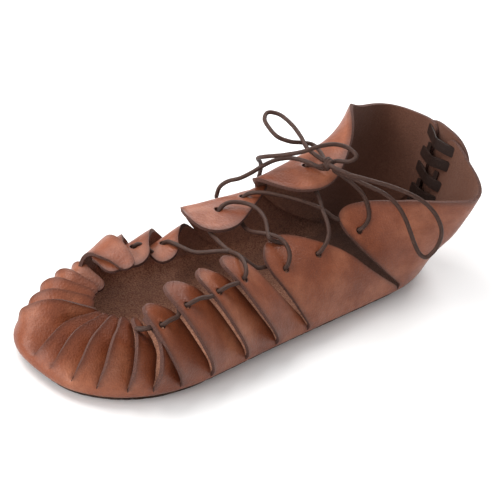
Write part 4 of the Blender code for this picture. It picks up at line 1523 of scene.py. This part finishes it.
def zip_across(bm: bmesh.types.BMesh, ring: list) -> None:
    """Closes a ring with narrow triangles from side to side, from the heel to the toe.

    Args:
        bm: The mesh.
        ring: The ring's corners, from the heel round by the outer side.
    """
    toe = max(range(len(ring)), key=lambda k: -ring[k].co.x)
    outer = ring[: toe + 1]
    inner = [ring[0]] + ring[:toe - 1:-1]
    a, b = 0, 0
    while a < len(outer) - 1 or b < len(inner) - 1:
        step_outer = b == len(inner) - 1
        if not step_outer and a < len(outer) - 1:
            step_outer = outer[a + 1].co.x > inner[b + 1].co.x
        ahead = outer[a + 1] if step_outer else inner[b + 1]
        corners = (outer[a], ahead, inner[b])
        if len(set(corners)) == 3:
            bm.faces.new(corners)
        if step_outer:
            a += 1
        else:
            b += 1


@dataclass
class SuedeSole:
    """The thin rough sole under the foot."""

    sizes: ShoeSizes
    corners: int = 300
    insets: tuple = (0.006, 0.010)
    ragged: float = 0.0005
    ragged_size: float = 0.0022

    def build(self, finish: bpy.types.Material) -> bpy.types.Object:
        """Builds the sole.

        Args:
            finish: Its suede.

        Returns:
            The finished sole.
        """
        deselect_all()
        bpy.ops.mesh.primitive_circle_add(vertices=self.corners, radius=1.0, fill_type="NGON")
        sole = bpy.context.object
        sole.name = "suede_sole"
        for k, vert in enumerate(sole.data.vertices):
            share = k / self.corners
            spot = OUTLINE_CURVE.at(share)
            rough = self.ragged * noise.noise(Vector((spot.x, spot.y, 0.0)) / self.ragged_size)
            spot -= OUTLINE_CURVE.outward(share) * (self.sizes.sole_inset + abs(rough))
            vert.co = (spot.x, spot.y, 0.0)
        bpy.ops.object.mode_set(mode="EDIT")
        bpy.ops.mesh.select_all(action="SELECT")
        bpy.ops.mesh.extrude_region_move(
            TRANSFORM_OT_translate={"value": (0.0, 0.0, self.sizes.sole_thickness)})
        for inset in self.insets:
            bpy.ops.mesh.inset(thickness=inset)
        bpy.ops.mesh.select_all(action="SELECT")
        bpy.ops.mesh.normals_make_consistent(inside=False)
        bpy.ops.object.mode_set(mode="OBJECT")
        for vert in sole.data.vertices:
            vert.co.z += floor_lift(vert.co.x)
        eased = sole.modifiers.new("eased", "BEVEL")
        eased.width = 0.0005
        eased.segments = 2
        eased.angle_limit = math.radians(50)
        apply_all(sole)
        sole.data.materials.append(finish)
        bpy.ops.object.shade_smooth_by_angle(angle=math.radians(40))
        return settle(sole, Slot.SUEDE, "sole")


@dataclass
class HeelThong:
    """The flat thong that laces the quarters together inside the heel."""

    sizes: ShoeSizes
    rows: int = 5
    start_share: float = 0.30
    behind: float = 3.0
    slope: float = 0.10
    cells: tuple = (16, 3)
    end_dip: float = 0.0016
    dip_from: float = 0.72
    dip_over: float = 0.28
    sag: float = 0.0008
    twist: float = 0.35
    twist_lift: float = 0.0009
    link_cells: tuple = (3, 8)
    link_length: float = 0.75
    link_in: float = 0.75
    link_width: float = 0.5
    link_lift: float = 0.2

    def spot(self, along: float, climb: float, off: float) -> Vector:
        """A point beside the leather, by its way round from the heel and up the wall."""
        share = along / OUTLINE_CURVE.girth
        path = climb_path(share, 1.0, 1.0, 0.0, climb)
        return place(OUTLINE_CURVE.at(share), OUTLINE_CURVE.outward(share), *path, off)

    def bar(self, row: int) -> bpy.types.Object:
        """One stretch of the thong across the gap, from a slit to the next one.

        Args:
            row: The stretch's number from the bottom.

        Returns:
            The stretch, as a thin skin.
        """
        columns, lines = self.cells
        bar = flat_grid(columns, lines)
        lean = self.slope * self.sizes.thong_step * (1 if row % 2 else -1)
        base = self.start_share * self.sizes.heel_tab_reach + row * self.sizes.thong_step
        for vert in bar.data.vertices:
            side = 2 * vert.co.x
            twist = self.twist * side * (1 if row % 2 else -1)
            climb = base + self.sizes.thong_width * (0.5 + vert.co.y) + lean * side
            dip = self.end_dip * smooth_step((abs(side) - self.dip_from) / self.dip_over)
            bow = self.sag * (1 - side * side) + self.twist_lift * twist * vert.co.y
            off = -(self.behind * self.sizes.leather + self.sizes.gap) + dip - bow
            vert.co = self.spot(side * self.sizes.thong_side, climb, off)
        lay_map(bar)
        return bar

    def link(self, row: int) -> bpy.types.Object:
        """The short stretch that joins two rows at one side.

        Args:
            row: The lower row's number.

        Returns:
            The stretch, as a thin skin.
        """
        link = flat_grid(*self.link_cells)
        way = 1 if row % 2 == 0 else -1
        base = self.start_share * self.sizes.heel_tab_reach + (row + 0.5) * self.sizes.thong_step
        for vert in link.data.vertices:
            climb = base + vert.co.y * self.link_length * self.sizes.thong_step
            inward = self.sizes.thong_width * (self.link_in + self.link_width * vert.co.x)
            off = -(self.behind * self.sizes.leather - self.link_lift * self.sizes.gap)
            vert.co = self.spot(way * (self.sizes.thong_side - inward), climb, off)
        lay_map(link)
        return link

    def build(self, finish: bpy.types.Material) -> bpy.types.Object:
        """Builds the thong.

        Args:
            finish: Its leather.

        Returns:
            The finished thong.
        """
        strips = [self.bar(row) for row in range(self.rows)]
        strips += [self.link(row) for row in range(self.rows - 1)]
        thong = join_all(strips, "heel_thong_strip")
        thong.data.materials.clear()
        thong.data.materials.append(finish)
        wall = thong.modifiers.new("wall", "SOLIDIFY")
        wall.thickness = self.sizes.thong_thickness
        wall.offset = 0
        wall.edge_crease_inner = 0.4
        wall.edge_crease_outer = 0.4
        smooth = thong.modifiers.new("smooth", "SUBSURF")
        smooth.levels = 1
        smooth.render_levels = 1
        apply_all(thong)
        bpy.ops.object.shade_smooth_by_angle(angle=math.radians(50))
        return settle(thong, Slot.THONG, "heel_thong")


def lay_map(strip: bpy.types.Object) -> None:
    """Gives a strip made from a grid the same kind of map as the lace: length, then width."""
    layer = strip.data.uv_layers.active
    if layer is None:
        layer = strip.data.uv_layers.new(name="lay")
    layer.name = "lay"


def smooth_route(points: Sequence[Vector], step: float) -> list[Vector]:
    """Lays a smooth curve through uneven points.

    Args:
        points: The points.
        step: The distance between the curve's own points.

    Returns:
        The curve's points.
    """
    ends = [2 * points[0] - points[1], *points, 2 * points[-1] - points[-2]]
    route: list[Vector] = []
    for a, b, c, d in zip(ends, ends[1:], ends[2:], ends[3:]):
        knots = [0.0]
        for low, high in ((a, b), (b, c), (c, d)):
            knots.append(knots[-1] + max(1e-6, (high - low).length) ** 0.5)
        count = max(1, round((c - b).length / step))
        for k in range(count):
            at = knots[1] + (knots[2] - knots[1]) * k / count
            ab = a + (b - a) * ((at - knots[0]) / (knots[1] - knots[0]))
            bc = b + (c - b) * ((at - knots[1]) / (knots[2] - knots[1]))
            cd = c + (d - c) * ((at - knots[2]) / (knots[3] - knots[2]))
            abc = ab + (bc - ab) * ((at - knots[0]) / (knots[2] - knots[0]))
            bcd = bc + (cd - bc) * ((at - knots[1]) / (knots[3] - knots[1]))
            route.append(abc + (bcd - abc) * ((at - knots[1]) / (knots[2] - knots[1])))
    return route + [points[-1].copy()]


@dataclass
class RoundLace:
    """A stretch of the round leather lace."""

    name: str
    route: list[Vector]
    radius: float
    sides: int = 14
    uneven: float = 0.05
    uneven_size: float = 0.004
    tip: float = 0.72
    tip_growth: float = 0.28
    tip_over: float = 0.5
    map_length: float = 0.010

    @property
    def length(self) -> float:
        """Its real length."""
        return sum((b - a).length for a, b in zip(self.route, self.route[1:]))

    def build(self, finish: bpy.types.Material) -> bpy.types.Object:
        """Builds the stretch as a tube with rounded ends.

        Args:
            finish: Its leather.

        Returns:
            The tube.
        """
        bm = bmesh.new()
        lay = bm.loops.layers.uv.new("lay")
        rings: list[list] = []
        travel: list[float] = [0.0]
        for a, b in zip(self.route, self.route[1:]):
            travel.append(travel[-1] + (b - a).length)
        side = Vector((0.0, 0.0, 1.0))
        last = len(self.route) - 1
        for k, spot in enumerate(self.route):
            along = (self.route[min(k + 1, last)] - self.route[max(k - 1, 0)]).normalized()
            side = (side - along * side.dot(along)).normalized()
            over = along.cross(side)
            near_end = min(travel[k], travel[last] - travel[k]) / self.radius
            ease = self.tip + self.tip_growth * min(1.0, near_end / self.tip_over)
            ring = []
            for j in range(self.sides):
                turn = 2 * math.pi * j / self.sides
                way = side * math.cos(turn) + over * math.sin(turn)
                rough = 1 + self.uneven * noise.noise((spot + way * self.radius) / self.uneven_size)
                ring.append(bm.verts.new(spot + way * self.radius * ease * rough))
            rings.append(ring)
        for k, (low, high) in enumerate(zip(rings, rings[1:])):
            for j in range(self.sides):
                nxt = (j + 1) % self.sides
                face = bm.faces.new((low[j], low[nxt], high[nxt], high[j]))
                for loop, row, turn in zip(face.loops, (k, k, k + 1, k + 1), (j, j + 1, j + 1, j)):
                    loop[lay].uv = (travel[row] / self.map_length, turn / self.sides)
        bm.faces.new(rings[0][::-1])
        bm.faces.new(rings[-1])
        bmesh.ops.recalc_face_normals(bm, faces=bm.faces)
        tube = put_in_scene(bm, self.name)
        tube.data.materials.append(finish)
        only(tube)
        bpy.ops.object.shade_smooth_by_angle(angle=math.radians(60))
        return tube


class Pass(NamedTuple):
    """The lace coming up through a hole, then running on over the outside.

    under is the place across the flap and the share of its height where the lace slips beneath it.
    rows are the points of the run after the hole.
    """

    flap: str
    hole: int
    under: tuple
    rows: tuple


@dataclass
class Lacing:
    """The two sides of the lace, through the holes and across the throat."""

    sizes: ShoeSizes
    upper: LeatherUpper
    finish: bpy.types.Material
    step: float = 0.0011
    ride: float = 0.0003
    clear: float = 0.0048
    easing: int = 7
    under_share: float = 0.4
    under_run: float = 0.0022
    over_run: float = 0.0020
    over_lift: float = 0.0002

    def spot(self, row: CordRow) -> Vector:
        """A listed point of the lace in metres."""
        return Vector((
            (row.along - 0.5) * self.sizes.length,
            row.side * self.sizes.ball_width,
            row.height * self.sizes.instep_height,
        ))

    def through(self, step: Pass, onward: Vector | None) -> list[Vector]:
        """The lace's points from under a flap up through its hole.

        Args:
            step: The flap and hole.
            onward: Where the lace goes next, or None.

        Returns:
            The points.
        """
        shape = self.upper.shapes[step.flap]
        across, climb = self.upper.hole_place(step.flap, step.hole)
        below = -(self.sizes.leather + self.sizes.lace_radius + self.ride)
        centre = shape.point(across, climb, -0.5 * self.sizes.leather)
        out = self.upper.normal(shape, across, climb)
        points = []
        if step.under:
            entry = shape.spot(step.under[0], step.under[1], below)
            points.append(entry)
            inside = centre + out * (below + 0.5 * self.sizes.leather)
            run = self.under_run / max(1e-6, (entry - inside).length)
            points.append(inside.lerp(entry, min(self.under_share, run)))
        points.append(centre)
        if onward is not None:
            above = centre + out * (0.5 * self.sizes.leather + self.sizes.lace_radius + self.ride)
            way = onward - above
            way -= out * way.dot(out)
            points.append(above + way.normalized() * self.over_run + out * self.over_lift)
        return points

    def side(self, name: str, passes: Sequence[Pass], ending: Sequence[Vector]) -> RoundLace:
        """Threads one side of the lace.

        Args:
            name: The piece's name.
            passes: Its holes in order.
            ending: Its last points, at the knot.

        Returns:
            The stretch.
        """
        points: list[Vector] = []
        stops = [self.through(step, None) for step in passes] + [[None]]
        for step, here, ahead in zip(passes, stops, stops[1:]):
            marks = [mark for mark in (here[-1], ahead[0]) if mark is not None]
            rows = [self.spot(row) for row in step.rows]
            rows = [row for row in rows if all((row - mark).length > self.clear for mark in marks)]
            onward = rows[0] if rows else (ending[0] if ahead[0] is None else ahead[0])
            points += self.through(step, onward) + rows
        points += ending
        kept = [points[0]]
        for point in points[1:]:
            if (point - kept[-1]).length > self.step:
                kept.append(point)
        route = smooth_route(kept, self.step)
        for _ in range(self.easing):
            eased = [b.lerp((a + c) / 2, 0.5) for a, b, c in zip(route, route[1:], route[2:])]
            route = [route[0], *eased, route[-1]]
        return RoundLace(name, route, self.sizes.lace_radius)

    def finish_cord(self, stretch: RoundLace, lay: str, far_end: str, *nodes: str) -> bpy.types.Object:
        """Builds and settles one stretch of the lace, and logs its length.

        Args:
            stretch: The stretch.
            lay: How it lies. Not used.
            far_end: What its far end is. Not used.
            nodes: The solids that it stands for.

        Returns:
            The piece.
        """
        piece = settle(stretch.build(self.finish), Slot.LACE, *nodes)
        stretch.length
        LOG.info("%s: %.0f mm of lace", piece.name, 1000 * stretch.length)
        return piece


OUTER_SIDE = (
    Pass("toe_tab_0", 0, (), GATHER_1),
    Pass("petal_outer_3", 0, (0.86, 0.80), GATHER_2),
    Pass("petal_outer_2", 0, (0.86, 0.80), GATHER_3),
    Pass("petal_outer_1", 0, (0.86, 0.80), GATHER_4),
    Pass("petal_outer_0", 0, (0.86, 0.80), NEAR_TO_FAR_1),
    Pass("middle_inner", 0, (0.44, 0.90), FAR_TO_NEAR_2),
    Pass("middle_outer", 1, (0.36, 0.86), NEAR_TO_FAR_3),
    Pass("quarter_inner", 0, (0.20, 0.93), ()),
)
INNER_SIDE = (
    Pass("petal_inner_1", 0, (), ()),
    Pass("petal_inner_0", 0, (0.30, 0.86), FAR_TO_NEAR_1),
    Pass("middle_outer", 0, (0.86, 0.84), NEAR_TO_FAR_2),
    Pass("middle_inner", 1, (0.60, 0.90), FAR_TO_NEAR_3),
    Pass("quarter_outer", 0, (0.92, 0.88), TO_KNOT),
)


@dataclass
class Bow:
    """The bow: its wrapped knot, two loops and two ends."""

    lacing: Lacing
    turns: float = 2.4
    wrap_radius: float = 2.1
    wrap_pitch: float = 2.15
    wrap_steps: int = 22
    lean: float = 0.35
    swelling: float = 0.06
    swells: float = 1.7
    flatness: float = 0.92
    drawn_in: float = 0.35

    def wrap(self) -> RoundLace:
        """The lace wound round the bow's middle."""
        sizes = self.lacing.sizes
        centre = self.lacing.spot(KNOT_CENTRE)
        radius = self.wrap_radius * sizes.lace_radius
        pitch = self.wrap_pitch * sizes.lace_radius
        count = round(self.turns * self.wrap_steps)
        route = []
        for k in range(count + 1):
            turn = 2 * math.pi * k / self.wrap_steps
            shift = (k / count - 0.5) * (self.turns - 1) * pitch
            tilt = self.lean * radius * math.cos(turn)
            swell = 1 + self.swelling * math.sin(self.swells * turn)
            route.append(centre + Vector((
                math.cos(turn) * radius * swell,
                shift + tilt,
                math.sin(turn) * radius * self.flatness * swell,
            )))
        return RoundLace("bow_wrap", route, sizes.lace_radius)

    def stretch(self, name: str, rows: Sequence[CordRow], closed: bool) -> RoundLace:
        """A loop or end of the bow, drawn into the middle of the knot.

        Args:
            name: The piece's name.
            rows: Its listed points.
            closed: Whether it comes back to the knot.

        Returns:
            The stretch.
        """
        centre = self.lacing.spot(KNOT_CENTRE)
        spots = [self.lacing.spot(row) for row in rows]
        first = centre.lerp(spots[0], self.drawn_in)
        points = [first, *spots]
        if closed:
            points.append(centre.lerp(spots[-1], self.drawn_in))
        return RoundLace(name, smooth_route(points, self.lacing.step), self.lacing.sizes.lace_radius)

    def build(self) -> None:
        cord = self.lacing.finish_cord
        cord(self.wrap(), "loose", "knot", "lace_knot")
        cord(self.stretch("bow_loop_raised", BOW_LOOP_UP, True), "loose", "knot", "bow_loop_up")
        cord(self.stretch("bow_loop_hanging", BOW_LOOP_NEAR, True), "hanging", "knot", "bow_loop_near")
        cord(self.stretch("bow_end_long", LACE_END_A, False), "hanging", "bare", "lace_end_a")
        cord(self.stretch("bow_end_short", LACE_END_B, False), "hanging", "bare", "lace_end_b")


@dataclass(frozen=True)
class Lamp:
    """A soft studio lamp, placed round the shoe as seen from the camera.

    right, up and back are its distances from the shoe in metres, and size is its side.
    """

    name: str
    right: float
    up: float
    back: float
    size: float
    power: float
    colour: tuple = (1.0, 1.0, 1.0)


@dataclass
class Studio:
    """The pale floor, the soft lamps and the camera at the photograph's angle."""

    azimuth: float = 46.2568
    elevation: float = 35.0582
    roll: float = 13.4294
    distance: float = 1.2
    lens: float = 161.86
    target: Vector = field(default_factory=lambda: Vector((0.0, 0.0, 0.035)))
    aim_right: float = 0.00241
    aim_up: float = 0.00319
    floor_size: float = 6.0
    sky: float = 0.66
    lamps: tuple = (
        Lamp("key_lamp", -0.45, 1.00, 0.45, 0.80, 12.0, (1.0, 0.985, 0.965)),
        Lamp("top_lamp", 0.35, 1.0, -0.35, 0.7, 7.0),
        Lamp("side_lamp", -0.75, 0.10, 0.95, 0.8, 9.5),
    )

    def axes(self) -> tuple[Vector, Vector, Vector]:
        """The camera's right, up and back directions."""
        turn, rise, roll = (math.radians(a) for a in (self.azimuth, self.elevation, self.roll))
        back = Vector((-math.sin(turn) * math.cos(rise), -math.cos(turn) * math.cos(rise), math.sin(rise)))
        level = Vector((math.cos(turn), -math.sin(turn), 0.0))
        upright = back.cross(level)
        right = math.cos(roll) * level + math.sin(roll) * upright
        up = math.cos(roll) * upright - math.sin(roll) * level
        return right, up, back

    def add_camera(self) -> None:
        """Sets the camera at the photograph's angle."""
        right, up, back = self.axes()
        data = bpy.data.cameras.new("photo_camera")
        data.lens = self.lens
        data.sensor_width = 36.0
        data.clip_start = 0.05
        data.clip_end = 20.0
        camera = bpy.data.objects.new("photo_camera", data)
        bpy.context.scene.collection.objects.link(camera)
        spot = self.target + right * self.aim_right + up * self.aim_up + back * self.distance
        camera.matrix_world = Matrix((
            (right.x, up.x, back.x, spot.x),
            (right.y, up.y, back.y, spot.y),
            (right.z, up.z, back.z, spot.z),
            (0.0, 0.0, 0.0, 1.0),
        ))
        bpy.context.scene.camera = camera

    def add_lamps(self) -> None:
        """Hangs the soft lamps, each facing the shoe."""
        right, up, back = self.axes()
        for lamp in self.lamps:
            data = bpy.data.lights.new(lamp.name, "AREA")
            data.shape = "SQUARE"
            data.size = lamp.size
            data.energy = lamp.power
            data.color = lamp.colour
            piece = bpy.data.objects.new(lamp.name, data)
            bpy.context.scene.collection.objects.link(piece)
            piece.location = self.target + right * lamp.right + up * lamp.up + back * lamp.back
            aim = self.target - piece.location
            piece.rotation_euler = aim.to_track_quat("-Z", "Y").to_euler()

    def add_sky(self) -> None:
        """Lights the scene evenly from all round."""
        world = bpy.data.worlds.new("soft_sky")
        world.use_nodes = True
        world.node_tree.nodes["Background"].inputs["Color"].default_value = (1.0, 1.0, 1.0, 1.0)
        world.node_tree.nodes["Background"].inputs["Strength"].default_value = self.sky
        bpy.context.scene.world = world

    def build(self) -> None:
        """Builds the studio."""
        deselect_all()
        bpy.ops.mesh.primitive_plane_add(size=self.floor_size)
        floor = bpy.context.object
        floor.name = "studio_floor"
        floor.data.materials.append(PaleFloor().build())
        bpy.context.scene.view_settings.view_transform = "Standard"
        self.add_sky()
        self.add_lamps()
        self.add_camera()


def main() -> None:
    """Dresses the shoe and sets up its studio."""
    logging.basicConfig(level=logging.INFO, format="%(message)s")
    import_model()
    deselect_all()
    Studio().build()
    upper = LeatherUpper(SIZES, make_flaps())
    upper.build((GrainLeather().build(), FleshLeather().build(), CutEdge().build()))
    SuedeSole(SIZES).build(SoleSuede().build())
    HeelThong(SIZES).build(
        LaceLeather("thong_leather", (0.008, 0.004, 0.003), (0.024, 0.012, 0.009),
                    (0.075, 0.042, 0.032), 0.46, 0.8).build()
    )
    lacing = Lacing(SIZES, upper, LaceLeather("lace_leather").build())
    knot = lacing.spot(KNOT_CENTRE)
    low_side = knot + Vector((0.0015, -0.0030, -0.0022))
    inner_rise = [knot + Vector((0.0, 0.0010, -0.0042)), knot + Vector((0.0003, 0.0, -0.0012))]
    lacing.finish_cord(
        lacing.side("lace_outer_side", OUTER_SIDE, inner_rise), "taut", "knot",
        "lace_gather_1", "lace_gather_2", "lace_gather_3", "lace_gather_4",
        "lace_crossing_1", "lace_crossing_2", "lace_crossing_3",
    )
    lacing.finish_cord(
        lacing.side("lace_inner_side", INNER_SIDE, [low_side]), "taut", "knot",
        "lace_gather_5", "lace_to_knot",
    )
    Bow(lacing).build()
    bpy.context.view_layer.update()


if __name__ == "__main__":
    main()
